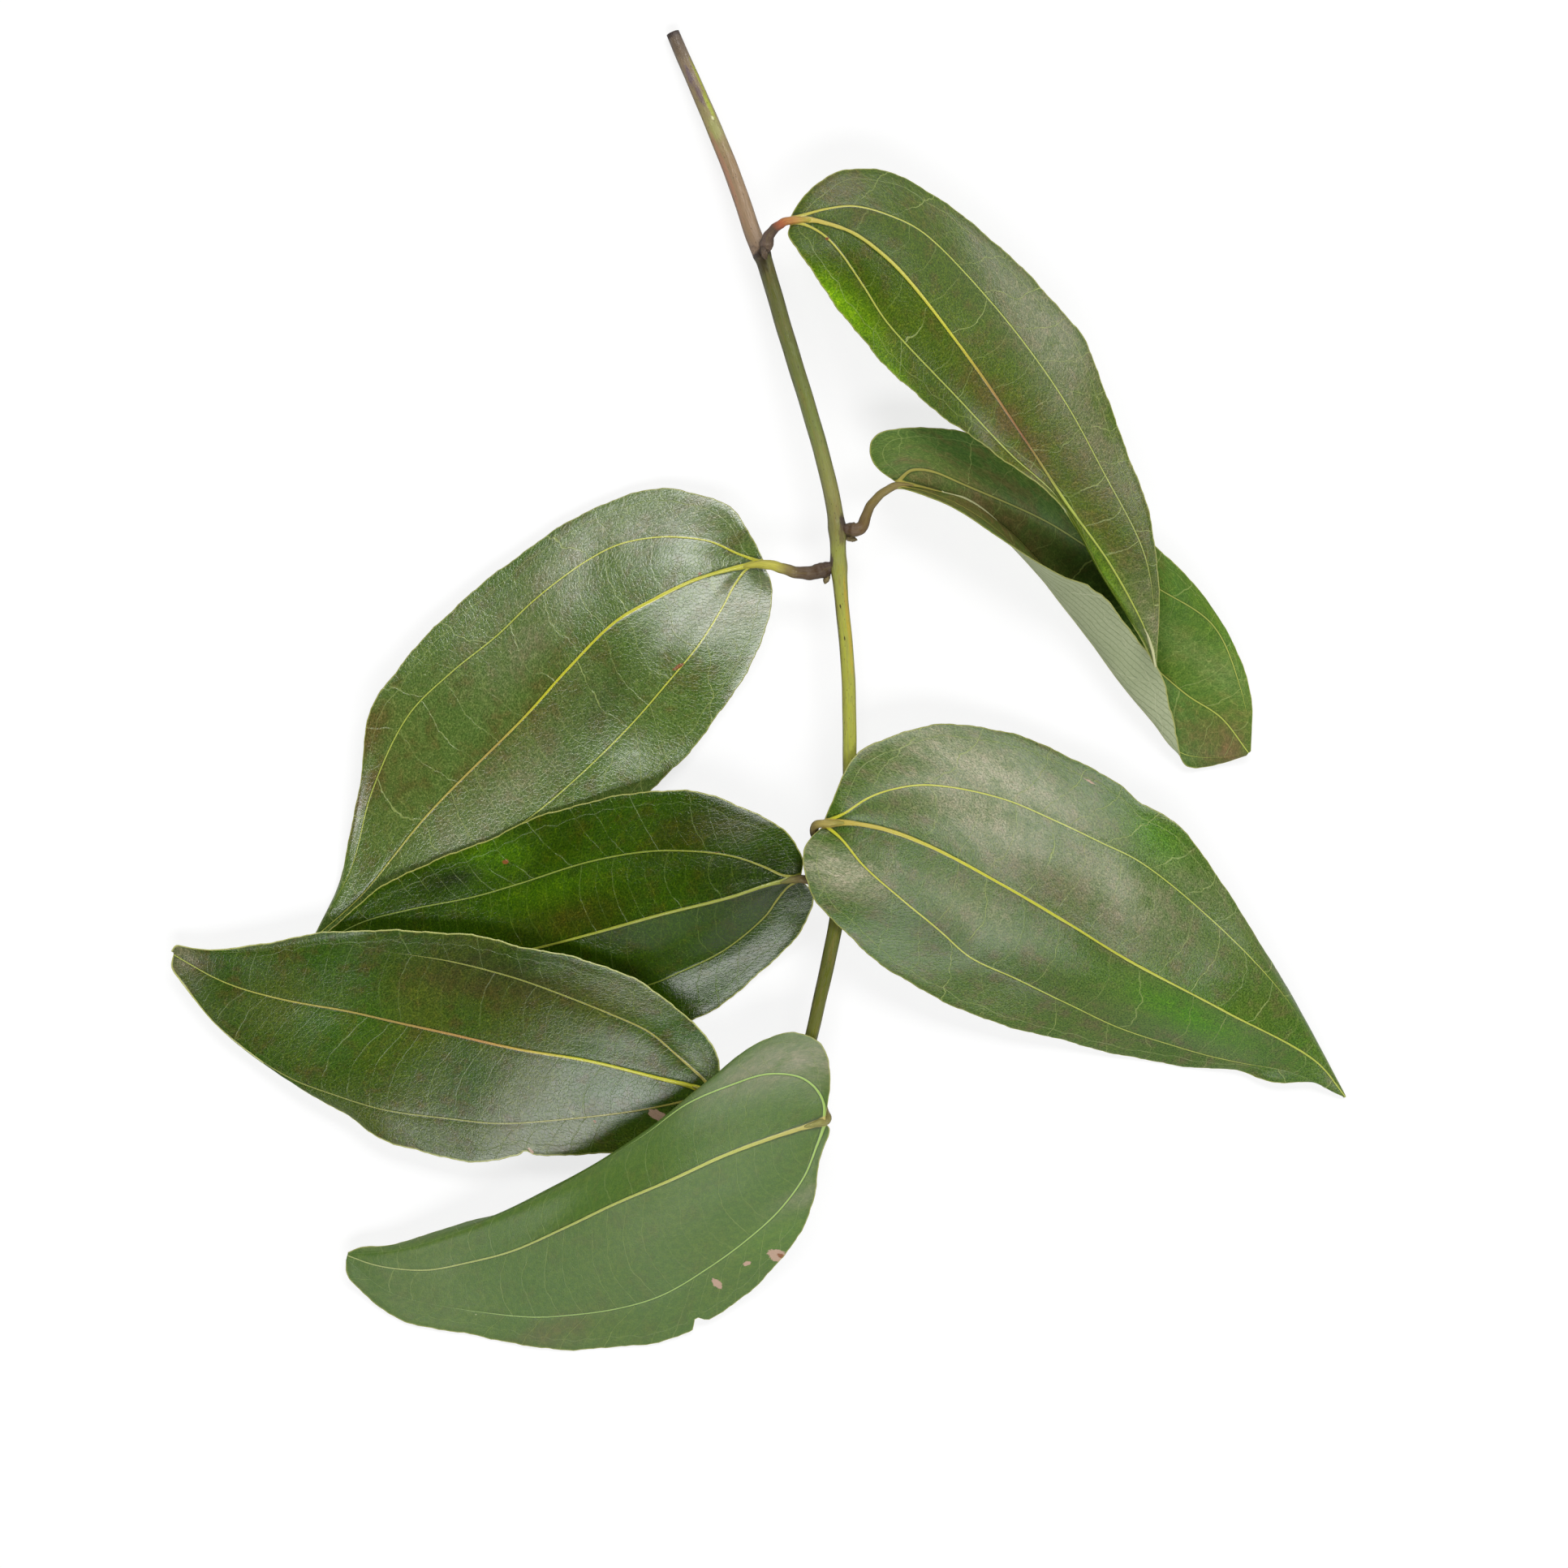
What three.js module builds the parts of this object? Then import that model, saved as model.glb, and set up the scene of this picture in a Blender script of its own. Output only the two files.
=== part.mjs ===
// A cut sprig of cinnamon lying on a table: one stem, seven three-veined leaves on short stalks, and buds.
// Millimetres, +Z up. The table is z = 0, and the origin is the middle of the sprig's footprint on it.
// +Y points from the leafy end to the cut end of the stem.
import * as THREE from 'three';

// Driving dimensions
const BLADE_THICKNESS = 0.5;
const BLADE_COLUMNS = 12;
const BLADE_ROWS = 28;
const STALK_SIDES = 8;
const STALK_STEPS = 10;
const STEM_SIDES = 12;
const STEM_STEPS = 56;
const BUD_SIDES = 8;
const BUD_RINGS = 8;
const BUD_TAPER = 0.45;
const SLOPE_STEP = 0.004;

// Finishes: a soft shine on the blades, and duller bark.
const BLADE_ROUGHNESS = 0.42;
const BARK_ROUGHNESS = 0.65;
const STEM_COLOUR = 0x7c7c45;
const STALK_COLOUR = 0x806c47;
const BUD_COLOUR = 0x6b5138;

// The stem's axis from the cut end to the growing tip.
const STEM_LINE = [
  [-19.9, 150.9, 1.5], [-8, 123, 5], [-5.5, 115, 6], [-1.5, 104.5, 7.5], [0.5, 98.5, 8.2],
  [5, 83, 9.3], [10.5, 65, 10.5], [15.5, 46.5, 11.6], [17.5, 38, 12], [18, 28, 12.1],
  [19.5, 5.5, 12.3], [20.5, -13.5, 12.2], [20, -33, 11.7], [17, -55, 11], [13, -73.5, 10.8],
  [9.8, -86.5, 11],
];

// The stem's radius along its length, as [share of the length, radius]. It swells where leaves join it.
const STEM_RADII = [
  [0, 1.5], [0.1, 1.85], [0.19, 1.95], [0.218, 2.25], [0.24, 1.9], [0.42, 1.8], [0.48, 2.1],
  [0.52, 1.9], [0.58, 1.6], [0.75, 1.6], [0.78, 1.85], [0.83, 1.75], [0.9, 1.6], [0.98, 1.5], [1, 1],
];

// A leaf stalk's radius, thickest at the stem and where it enters the blade.
const STALK_RADII = [[0, 1.3], [0.3, 1.05], [0.8, 0.95], [1, 0.85]];

// Each blade is stretched over five lines that run from its base to its tip: the left edge, the left
// side vein, the midrib, the right side vein and the right edge, seen from above with the tip ahead.
// Each leaf's stalk runs from the stem to the blade's base. Leaves are numbered from the cut end.
const LEAVES = [
  // Leaf 1, nearest the cut end: arches over leaf 2, and its right edge droops into leaf 2's hollow.
  {
    left: [
      [6.9, 107, 15], [8.5, 110, 14.5], [10.5, 112.5, 14.2], [13.5, 115.5, 13.6], [18, 118, 12.9],
      [23.5, 118.5, 12.5], [32, 117, 12.2], [51, 104, 12.4], [73, 81, 12.9], [76.5, 73.5, 13.3],
      [81.5, 59.5, 13.7], [88.5, 39.5, 15.7], [90.5, 20.5, 17.7], [89.9, 5.6, 16],
    ],
    leftVein: [
      [7.1, 106.8, 15.3], [15.5, 109, 16.2], [21.5, 109.5, 16.6], [30, 107, 17.3], [37.5, 103, 17.3],
      [53, 87, 17.3], [68, 67, 16.9], [77.5, 50, 16.3], [87, 31, 17.1], [89.5, 16.5, 17.5],
      [89.8, 5.6, 16.2],
    ],
    midrib: [
      [7.1, 106.5, 15.5], [11.5, 106.5, 16.2], [15.5, 105.5, 17.5], [21.5, 103, 19.9], [29, 97, 22.8],
      [34.5, 91, 24.2], [46.5, 75.5, 23.8], [60, 56.5, 20], [69, 43, 18.2], [80, 27.5, 17.3],
      [88, 12, 17.2], [89.7, 5.3, 16.5],
    ],
    rightVein: [
      [7.1, 106.2, 15.4], [10, 105.5, 16.1], [13, 104, 17.3], [15.5, 102, 18.8], [18.5, 98.5, 20.1],
      [23.5, 91, 22.1], [29, 82.5, 23.3], [46, 64.5, 22], [56.5, 53.5, 19.8], [68.5, 42.5, 17.2],
      [78, 26, 15.6], [87, 12, 15.3], [89.7, 5.3, 16.2],
    ],
    right: [
      [7.1, 106, 15.1], [6.5, 103, 16.4], [9, 99, 18.4], [14.5, 90.5, 19.8], [22, 80.5, 20.9],
      [31, 70.5, 20.2], [40.5, 62.5, 19.6], [55, 52, 19.9], [67.5, 42.5, 17.4], [76.5, 28.5, 12.8],
      [86, 12.5, 15], [89.6, 5.3, 16],
    ],
    stalk: [
      [1.7, 101.5, 10.2], [2.1, 103.2, 12], [3.5, 104.8, 13.6], [5, 105.8, 14.8], [6.1, 106.3, 15.3],
    ],
    colour: 0x6a7d3d,
  },
  // Leaf 2: lies on the table as a trough, with its right side rolled up and over.
  {
    left: [
      [31, 47.3, 13], [28.5, 49, 12.5], [26, 51.5, 12], [25, 55, 11.7], [26.5, 58, 11.4],
      [30, 59.5, 11.1], [37.5, 60, 10.4], [46, 59, 9.5], [71, 49.5, 7.5], [90.5, 33, 8], [99, 24.5, 8],
      [108, 11.5, 6], [112.5, -1.5, 4], [112.5, -13.6, 2.5],
    ],
    leftVein: [
      [31.2, 47, 13.2], [32.5, 48.5, 12.9], [34.5, 50, 12.5], [38.5, 50, 11.6], [46.5, 47, 9.5],
      [65, 39, 7], [76.5, 32, 5.5], [91, 23.5, 6.5], [103.5, 15, 7], [110, 0.5, 4.6], [112, -9, 3.2],
      [112.3, -13.8, 2.6],
    ],
    midrib: [
      [31.4, 46.8, 13.4], [35, 46.5, 12], [39.5, 45.5, 10.6], [47, 43.5, 8.4], [56.5, 37, 4.6],
      [73.5, 20, 0.5], [91, 5, 2], [98, -1, 3.8], [105.5, -6, 4.2], [111.9, -14, 2.8],
    ],
    rightVein: [
      [31.4, 46.5, 13.6], [37.5, 45, 14], [45, 42, 13], [54.5, 36, 11], [63.5, 27, 8.5], [69, 20, 7.5],
      [76, 11, 7], [82.5, 2, 6.3], [90, -7, 4.8], [95.5, -13.5, 3.2], [101, -15, 2.6],
      [111.7, -14.3, 2.6],
    ],
    right: [
      [31.2, 46.2, 14], [37.5, 44, 16.5], [45, 40.5, 17.5], [56, 33.5, 17.5], [65.5, 27.5, 17.2],
      [69.5, 25.5, 17], [76, 23, 17], [83, 15, 15], [90.5, 5.5, 11.6], [94.5, -6, 7], [97.5, -17, 2],
      [102, -17.5, 0.8], [111.4, -14.7, 1.6],
    ],
    stalk: [
      [20.2, 36.9, 12.5], [22, 36.6, 12.6], [23.5, 37.5, 12.6], [24.3, 40, 12.6], [25.6, 42.5, 12.8],
      [27.7, 44.7, 13.1], [30.5, 46.3, 13.4],
    ],
    colour: 0x66753f,
  },
  // Leaf 3, opposite leaf 2: the lowest of the pile on the left, flat on the table at its tip.
  {
    left: [
      [1.2, 28.2, 11.8], [2.5, 25.5, 10.6], [3, 22, 8.3], [0, 10, 4.1], [-7, -2, 2.4],
      [-17.5, -15.5, 3.1], [-36.5, -33, 5.8], [-53, -44, 4.9], [-77.5, -53, 1.6], [-102, -56.8, 0.5],
    ],
    leftVein: [
      [1, 28.5, 12], [-2.5, 28, 10.8], [-5.5, 24.5, 8.9], [-8.5, 19, 7.3], [-14, 10.5, 5.4],
      [-21, 2, 6], [-32, -10.5, 8.2], [-50, -27, 7.1], [-69.5, -40.5, 5], [-88.5, -51.5, 1.7],
      [-102, -56.6, 0.9],
    ],
    midrib: [
      [1, 28.8, 12.1], [-2.5, 28.5, 11.3], [-14, 25.5, 10.5], [-24.5, 20.5, 10.5], [-33, 15.5, 10.7],
      [-43.5, 5, 11.1], [-53, -5.5, 9.8], [-75.5, -28, 7.1], [-91.5, -47, 1.8], [-102, -56.4, 1],
    ],
    rightVein: [
      [1, 29, 12], [-4.5, 31, 9.7], [-11, 34, 7.5], [-17.5, 35, 6.8], [-24, 35, 6.2], [-32, 33.5, 5.9],
      [-39, 30, 5.9], [-51, 21, 6.8], [-60, 12.5, 7.2], [-70.5, 4, 7.6], [-80, -5.5, 7.3],
      [-88.5, -23, 6], [-93.5, -40.5, 2.8], [-102, -56.2, 0.9],
    ],
    right: [
      [1, 29.5, 11.8], [-1, 34, 9.9], [-3.5, 38, 7.7], [-6.5, 42, 6.2], [-12, 44.5, 4.9],
      [-21, 46.5, 3.4], [-32, 44.5, 2.6], [-46, 37.5, 2.9], [-60.5, 27, 3.8], [-71, 18, 4.7],
      [-81.5, 6.5, 6.1], [-88, -2.5, 7.3], [-90, -10, 7.5], [-91, -20, 7], [-94.5, -36, 3.5],
      [-96.5, -44.5, 1.5], [-102.2, -56.2, 0.8],
    ],
    stalk: [
      [15.4, 27.8, 12], [14.1, 27.3, 11.9], [11.3, 26.8, 11.7], [8.2, 26.9, 11.6], [5, 27.9, 11.8],
      [2.1, 28.6, 12],
    ],
    colour: 0x6f8048,
  },
  // Leaf 4: lies across the stem and slopes down to the table on the right.
  {
    left: [
      [14.6, -29.6, 16.7], [16, -26, 17.1], [18.5, -20, 16.9], [22, -14.5, 15.6], [30.5, -10, 12.4],
      [43, -7.5, 8.9], [57, -9.5, 6.8], [70, -14.5, 6.8], [83, -22, 8.4], [86.5, -25, 8.8],
      [93.5, -29, 9.2], [98.5, -34, 9.2], [103, -40, 8.7], [120, -67, 6.9], [134.4, -92.7, 0.6],
    ],
    leftVein: [
      [14.8, -29.8, 16.9], [19, -28, 18], [24.5, -24.5, 16.3], [30, -22.5, 14.7], [38, -21.5, 12.9],
      [55, -24.5, 11.4], [67, -29.5, 12.2], [77.5, -34.5, 12.3], [86.5, -39, 11.5], [100.5, -50, 9.8],
      [119, -69, 9.6], [134.4, -92.9, 0.7],
    ],
    midrib: [
      [14.8, -30.1, 17.1], [20.5, -30, 19.1], [28.5, -31.5, 19.6], [39, -35.5, 19.1], [55, -44, 17.9],
      [69.5, -52.5, 17.6], [82.5, -60.5, 18], [106, -73, 15.1], [127, -84.5, 5.2], [134.4, -93, 0.8],
    ],
    rightVein: [
      [14.8, -30.4, 16.9], [18.5, -33.5, 17.6], [23.5, -39.5, 16.7], [32.5, -47.5, 15.4],
      [41, -54.5, 13.8], [48, -60.5, 12.5], [58.5, -65.5, 10.9], [70, -71, 9.1], [81.5, -76.5, 6.6],
      [96.5, -81.5, 3.8], [110.5, -85, 3.2], [121.5, -87, 3.6], [134.2, -93, 0.7],
    ],
    right: [
      [14.6, -30.7, 16.7], [12, -33, 17], [10, -36, 16.9], [10, -40.5, 16.2], [12, -46.5, 15.3],
      [18.5, -54, 14.1], [28, -62.5, 11], [39.5, -69.5, 8.1], [51.5, -75, 5.7], [66, -79, 3.5],
      [83.5, -83.5, 0.9], [97.5, -86, 0.4], [110, -87, 1.3], [117.5, -89.5, 2.1], [127.5, -89.5, 2],
      [131, -90, 1.3], [134, -93.1, 0.6],
    ],
    stalk: [
      [17.9, -34.5, 13], [15.5, -34.4, 13.3], [13.3, -33.3, 13.8], [12.4, -31.7, 14.8],
      [13, -30.4, 16],
    ],
    colour: 0x77884e,
  },
  // Leaf 5: over leaf 3, with its tip under leaf 6.
  {
    left: [
      [9.5, -43.2, 10.8], [11.5, -45, 9.7], [12.5, -47, 8.6], [11.5, -51, 6.6], [9, -55.5, 4.1],
      [-2, -66.5, 0.9], [-14, -75, 0.5], [-35.5, -82, 0.6], [-59, -83, 0.5], [-86.5, -76.5, 0.9],
      [-111.4, -66, 1.5],
    ],
    leftVein: [
      [9.3, -42.9, 11], [6.5, -44.5, 9.9], [4, -47.5, 8.3], [1.5, -51, 6.6], [-8, -59, 3.9],
      [-19, -64.5, 3.6], [-25, -67, 3.5], [-47.5, -71.5, 2.7], [-70, -72, 0.7], [-92.5, -69.5, 1.3],
      [-111.4, -65.8, 1.6],
    ],
    midrib: [
      [9.3, -42.6, 11.2], [2.5, -44, 13.2], [-7, -47, 15], [-23, -51, 14.2], [-39, -55.5, 10.9],
      [-52.5, -59, 7.4], [-73.5, -63, 3.7], [-94, -66, 3.8], [-111.6, -65.6, 1.7],
    ],
    rightVein: [
      [9.3, -42.3, 11], [5.5, -42, 12.3], [1, -40, 13.5], [-4.5, -38, 14.6], [-9.5, -37, 14.4],
      [-14.5, -36.5, 13.9], [-25, -36.5, 12.2], [-39, -39, 9.8], [-55, -44, 7.6], [-65.5, -47, 6.6],
      [-80.5, -50, 5.2], [-92.5, -53.5, 4.1], [-111.4, -65.5, 1.6],
    ],
    right: [
      [9.5, -42.1, 10.8], [10, -38.5, 11.3], [8.5, -35, 11.8], [6.5, -32.5, 12.2], [2.5, -29.5, 12.9],
      [-7, -25, 12.5], [-14, -23, 11.7], [-22, -22.5, 10.6], [-38, -25, 8.9], [-51.5, -29, 8.2],
      [-63.5, -34.5, 7.5], [-76.5, -39.5, 6.6], [-87, -45, 5.4], [-99.5, -55.5, 3.6],
      [-111.4, -65.3, 1.5],
    ],
    stalk: [[16.2, -44.5, 11.2], [14.3, -44.1, 11], [12.2, -43.4, 11], [10.3, -42.8, 11.2]],
    colour: 0x3f5a16,
  },
  // Leaf 6, one of the end pair: over leaf 5.
  {
    left: [
      [-10.6, -92.2, 12], [-13.5, -98.5, 8.3], [-22.5, -103.5, 6.8], [-33.5, -105.5, 6.4],
      [-43.5, -106, 6.3], [-54, -106, 6.4], [-62, -107.5, 6.1], [-69.5, -107, 5.7],
      [-76.5, -105.5, 5.5], [-87, -102, 5], [-93.5, -97.5, 4.8], [-103, -92, 4.5], [-114, -84.5, 3.9],
      [-124.5, -76, 4.2], [-131.5, -67.5, 4.3], [-134.5, -63, 4.3], [-134.1, -60.5, 4.4],
    ],
    leftVein: [
      [-10.6, -91.8, 12.2], [-16, -93, 10.8], [-28, -95.5, 9.3], [-44, -97.5, 8.9], [-59, -98.5, 8.4],
      [-70.5, -97.5, 7.8], [-85.5, -95.5, 7.1], [-97.5, -92, 5.7], [-107, -88.5, 4.5],
      [-118, -81.5, 3.3], [-127.5, -72, 3.3], [-133.9, -60.3, 4.5],
    ],
    midrib: [
      [-10.6, -91.4, 12.4], [-16.5, -89.5, 11.9], [-23, -88, 11.8], [-39, -84, 12.7],
      [-54.5, -81.5, 12.6], [-70.5, -78, 11], [-82.5, -75.5, 9.2], [-94, -73, 7.9], [-108, -70.5, 6.8],
      [-118, -68, 5.7], [-124.5, -65.5, 4.5], [-133.9, -60.2, 4.6],
    ],
    rightVein: [
      [-10.4, -91.2, 12.2], [-12.5, -88.5, 12.5], [-18.5, -83, 12.8], [-25, -77.5, 13.5],
      [-33.5, -73.5, 14.1], [-46, -68.5, 14.5], [-51.5, -66.5, 14.1], [-58, -64.5, 13],
      [-70.5, -61.5, 10.6], [-83.5, -59.5, 8.9], [-95.5, -57.5, 8.7], [-117.5, -59.5, 7],
      [-133.9, -59.8, 4.5],
    ],
    right: [
      [-10.3, -90.9, 12], [-9, -88.5, 11.3], [-9, -84.5, 10.6], [-11, -80, 10.2], [-14.5, -76, 10.5],
      [-17.5, -73, 11], [-28, -65.5, 12.5], [-39.5, -61, 13.4], [-51.5, -58.5, 13.3],
      [-65, -55.5, 11.5], [-80.5, -54.5, 9.6], [-91.5, -54.5, 8.4], [-99.5, -55, 7.7],
      [-113.5, -57.5, 6.8], [-124, -59, 6.2], [-130, -58.5, 5.3], [-133.5, -58, 4.7],
      [-134.5, -59.4, 4.4],
    ],
    stalk: [[7.1, -87.4, 11], [3.6, -88.5, 11.2], [-2, -90.2, 11.6], [-9.3, -91.4, 12.3]],
    colour: 0x4f6129,
  },
  // Leaf 7, the other of the end pair: covers the stem's end, and slopes down to the table.
  {
    left: [
      [15.1, -98.1, 16.5], [16, -99.5, 15.6], [14, -105.5, 14.2], [12.5, -115.5, 10.7], [8.5, -125, 7],
      [3.5, -131.5, 4.5], [-3.5, -138.5, 2.6], [-13.5, -145.5, 1.3], [-24.5, -149.5, 0.5],
      [-34.5, -150.5, 0.3], [-45.5, -151, 0.4], [-54.5, -150, 0.6], [-66, -147.5, 0.6],
      [-76, -146, 0.5], [-83.5, -143.5, 0.7], [-91, -138, 1.5], [-94.5, -133.5, 2.9],
      [-94.6, -130.2, 4],
    ],
    leftVein: [
      [14.9, -97.8, 16.8], [13, -103, 15.2], [10, -110.5, 13.5], [4.5, -118, 12.2], [-2, -124, 10.9],
      [-10.5, -130.5, 9.6], [-22, -137.5, 7.8], [-33, -141, 6.3], [-43.5, -142.5, 5], [-53.5, -143, 4],
      [-70, -141, 3], [-84.5, -137.5, 2.8], [-94.4, -129.8, 4.2],
    ],
    midrib: [
      [14.7, -97.5, 17], [4.5, -100.5, 19.3], [-8, -105, 21.5], [-20, -110.5, 21.7], [-32.5, -116, 19],
      [-44.5, -122, 14.6], [-56.5, -127.5, 10.4], [-67.5, -130.5, 7.6], [-75, -132, 6.3],
      [-81.5, -132, 5.6], [-88, -131, 5.1], [-94.2, -129, 4.4],
    ],
    rightVein: [
      [14.8, -97.2, 17], [14.5, -93.5, 16.5], [13, -90.5, 16.1], [10, -88, 16], [6.5, -87, 16.2],
      [1, -87, 16.6], [-5.5, -89, 17.1], [-16, -93.5, 17.8], [-26.5, -101, 17.6], [-47, -113.5, 14.9],
      [-69.5, -123.5, 9.9], [-82.5, -127.5, 7.1], [-94.1, -128.7, 4.2],
    ],
    right: [
      [14.9, -97, 16.8], [15.5, -94, 15.9], [16, -89, 14.5], [15.5, -83, 13.9], [13, -79, 13.6],
      [7, -77.5, 13.7], [0.5, -79.5, 14.1], [-4.5, -82.5, 14.6], [-9.5, -87, 14.7], [-19, -95.5, 14.3],
      [-30, -104, 12.1], [-43.5, -111.5, 9.3], [-54, -117.5, 7.7], [-66.5, -121, 6.3], [-76, -124, 6],
      [-84, -126.5, 5.6], [-91, -127, 4.6], [-94.1, -128.3, 4],
    ],
    stalk: [
      [11.7, -88.5, 11.4], [13, -91.1, 11.8], [14.1, -93.8, 12.6], [15, -95.9, 13.8],
      [15.4, -97, 14.9], [15.2, -97.6, 15.6],
    ],
    colour: 0x647c44,
  },
];

// Buds sit in the angle between a stalk and the stem: where each starts, which way it points, its size.
const BUDS = [
  { name: 'bud_1', at: [1, 100, 11.2], towards: [0.4, -1.7, 0.4], length: 2.2, radius: 0.75 },
  { name: 'bud_2', at: [20.1, 34.8, 11], towards: [2.4, -0.6, 0.2], length: 2.3, radius: 0.7 },
  { name: 'bud_3', at: [15.4, 25.8, 11.4], towards: [-0.7, -1.9, 0.2], length: 1.7, radius: 0.7 },
  { name: 'bud_4', at: [17.2, -36.3, 12.3], towards: [-1.1, -1.3, 0.8], length: 2, radius: 0.6 },
  { name: 'bud_5', at: [15.7, -46.5, 10.8], towards: [-0.9, -1.5, 0.3], length: 2, radius: 0.6 },
  { name: 'tip_bud', at: [9.5, -88.6, 11], towards: [-0.6, -2.2, 0.2], length: 3, radius: 0.8 },
];

const sprig = new THREE.Group();

function add(name, geometry, color, roughness) {
  const material = new THREE.MeshStandardMaterial({ name, color, roughness, metalness: 0 });
  const mesh = new THREE.Mesh(geometry, material);
  mesh.name = name;
  sprig.add(mesh);
}

const lineThrough = (points) => new THREE.CatmullRomCurve3(points.map((p) => new THREE.Vector3(...p)));

// Moves every vertex of a closed geometry to place(vertex), and leaves its faces as they are.
function bend(geometry, place) {
  const position = geometry.attributes.position;
  const vertex = new THREE.Vector3();
  for (let i = 0; i < position.count; i += 1) {
    vertex.fromBufferAttribute(position, i);
    position.setXYZ(i, ...place(vertex));
  }
  geometry.computeVertexNormals();
  return geometry;
}

// A thin closed sheet over a leaf's five lines. In the box that it is bent from, x runs across the blade
// from the left edge to the right, y runs from base to tip, and z is the upper or the lower face.
function bladeGeometry(leaf) {
  const lines = [leaf.left, leaf.leftVein, leaf.midrib, leaf.rightVein, leaf.right].map(lineThrough);
  const onBlade = (across, along) => {
    const row = lines.map((line) => line.getPointAt(along));
    return new THREE.CatmullRomCurve3(row).getPoint(across);
  };
  const slope = (across, along, acrossStep, alongStep) => {
    const before = onBlade(Math.max(across - acrossStep, 0), Math.max(along - alongStep, 0));
    return onBlade(Math.min(across + acrossStep, 1), Math.min(along + alongStep, 1)).sub(before);
  };
  const sheet = new THREE.BoxGeometry(1, 1, BLADE_THICKNESS, BLADE_COLUMNS, BLADE_ROWS, 1);
  return bend(sheet, ({ x, y, z }) => {
    const across = x + 0.5;
    const along = y + 0.5;
    const sideways = slope(across, along, SLOPE_STEP, 0);
    const outward = sideways.cross(slope(across, along, 0, SLOPE_STEP)).normalize();
    return onBlade(across, along).addScaledVector(outward, z);
  });
}

function radiusAt(radii, share) {
  const next = Math.max(1, radii.findIndex(([end]) => share <= end));
  const [[start, from], [end, to]] = [radii[next - 1], radii[next]];
  return from + (to - from) * (share - start) / (end - start);
}

// A round rod of changing radius along a line, bent from an upright cylinder.
function rodGeometry(points, radii, sides, steps) {
  const line = lineThrough(points);
  const { normals, binormals } = line.computeFrenetFrames(steps);
  return bend(new THREE.CylinderGeometry(1, 1, 1, sides, steps), ({ x, y, z }) => {
    const share = y + 0.5;
    const step = Math.round(share * steps);
    const radius = radiusAt(radii, share);
    return line.getPointAt(share)
      .addScaledVector(normals[step], z * radius)
      .addScaledVector(binormals[step], x * radius);
  });
}

// A pointed bud: a ball drawn out towards its tip.
function budGeometry({ at, towards, length, radius }) {
  const turn = new THREE.Quaternion().setFromUnitVectors(
    new THREE.Vector3(0, 1, 0),
    new THREE.Vector3(...towards).normalize(),
  );
  return bend(new THREE.SphereGeometry(1, BUD_SIDES, BUD_RINGS), ({ x, y, z }) => {
    const share = (y + 1) / 2;
    const taper = radius * (1 - BUD_TAPER * share);
    return new THREE.Vector3(x * taper, share * length, z * taper)
      .applyQuaternion(turn)
      .add(new THREE.Vector3(...at));
  });
}

add('stem', rodGeometry(STEM_LINE, STEM_RADII, STEM_SIDES, STEM_STEPS), STEM_COLOUR, BARK_ROUGHNESS);
LEAVES.forEach((leaf, index) => {
  const name = `leaf_${index + 1}`;
  const stalk = rodGeometry(leaf.stalk, STALK_RADII, STALK_SIDES, STALK_STEPS);
  add(`${name}_stalk`, stalk, STALK_COLOUR, BARK_ROUGHNESS);
  add(`${name}_blade`, bladeGeometry(leaf), leaf.colour, BLADE_ROUGHNESS);
});
BUDS.forEach((bud) => add(bud.name, budGeometry(bud), BUD_COLOUR, BARK_ROUGHNESS));

export default sprig;
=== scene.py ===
import math

import bpy
import numpy as np
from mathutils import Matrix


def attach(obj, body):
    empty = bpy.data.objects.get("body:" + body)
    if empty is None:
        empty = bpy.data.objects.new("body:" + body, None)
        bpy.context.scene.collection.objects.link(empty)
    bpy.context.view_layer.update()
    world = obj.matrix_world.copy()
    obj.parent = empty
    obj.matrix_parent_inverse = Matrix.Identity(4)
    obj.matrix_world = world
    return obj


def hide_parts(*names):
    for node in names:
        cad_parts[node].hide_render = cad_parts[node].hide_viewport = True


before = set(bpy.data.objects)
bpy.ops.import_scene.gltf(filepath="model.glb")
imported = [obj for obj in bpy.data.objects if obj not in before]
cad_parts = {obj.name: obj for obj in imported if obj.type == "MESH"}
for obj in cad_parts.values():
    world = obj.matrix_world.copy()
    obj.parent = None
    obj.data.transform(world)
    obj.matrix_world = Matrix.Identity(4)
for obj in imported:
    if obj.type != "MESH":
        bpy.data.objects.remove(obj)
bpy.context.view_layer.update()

# The studio: a pale table top, two large soft lamps standing over opposite sides of it, and a dim ceiling
# with brighter walls. The camera looks straight down at the sprig from the height of a copy stand.
world = bpy.data.worlds.new("studio_room")
bpy.context.scene.world = world
world.use_nodes = True
room = world.node_tree
direction = room.nodes.new("ShaderNodeTexCoord")
height = room.nodes.new("ShaderNodeSeparateXYZ")
walls_to_ceiling = room.nodes.new("ShaderNodeValToRGB")
walls, ceiling = walls_to_ceiling.color_ramp.elements
walls.position = 0.25
walls.color = (0.7, 0.7, 0.7, 1)
ceiling.position = 0.6
ceiling.color = (0.02, 0.02, 0.02, 1)
room.links.new(direction.outputs["Generated"], height.inputs[0])
room.links.new(height.outputs["Z"], walls_to_ceiling.inputs["Fac"])
room.links.new(walls_to_ceiling.outputs["Color"], room.nodes["Background"].inputs["Color"])

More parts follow.
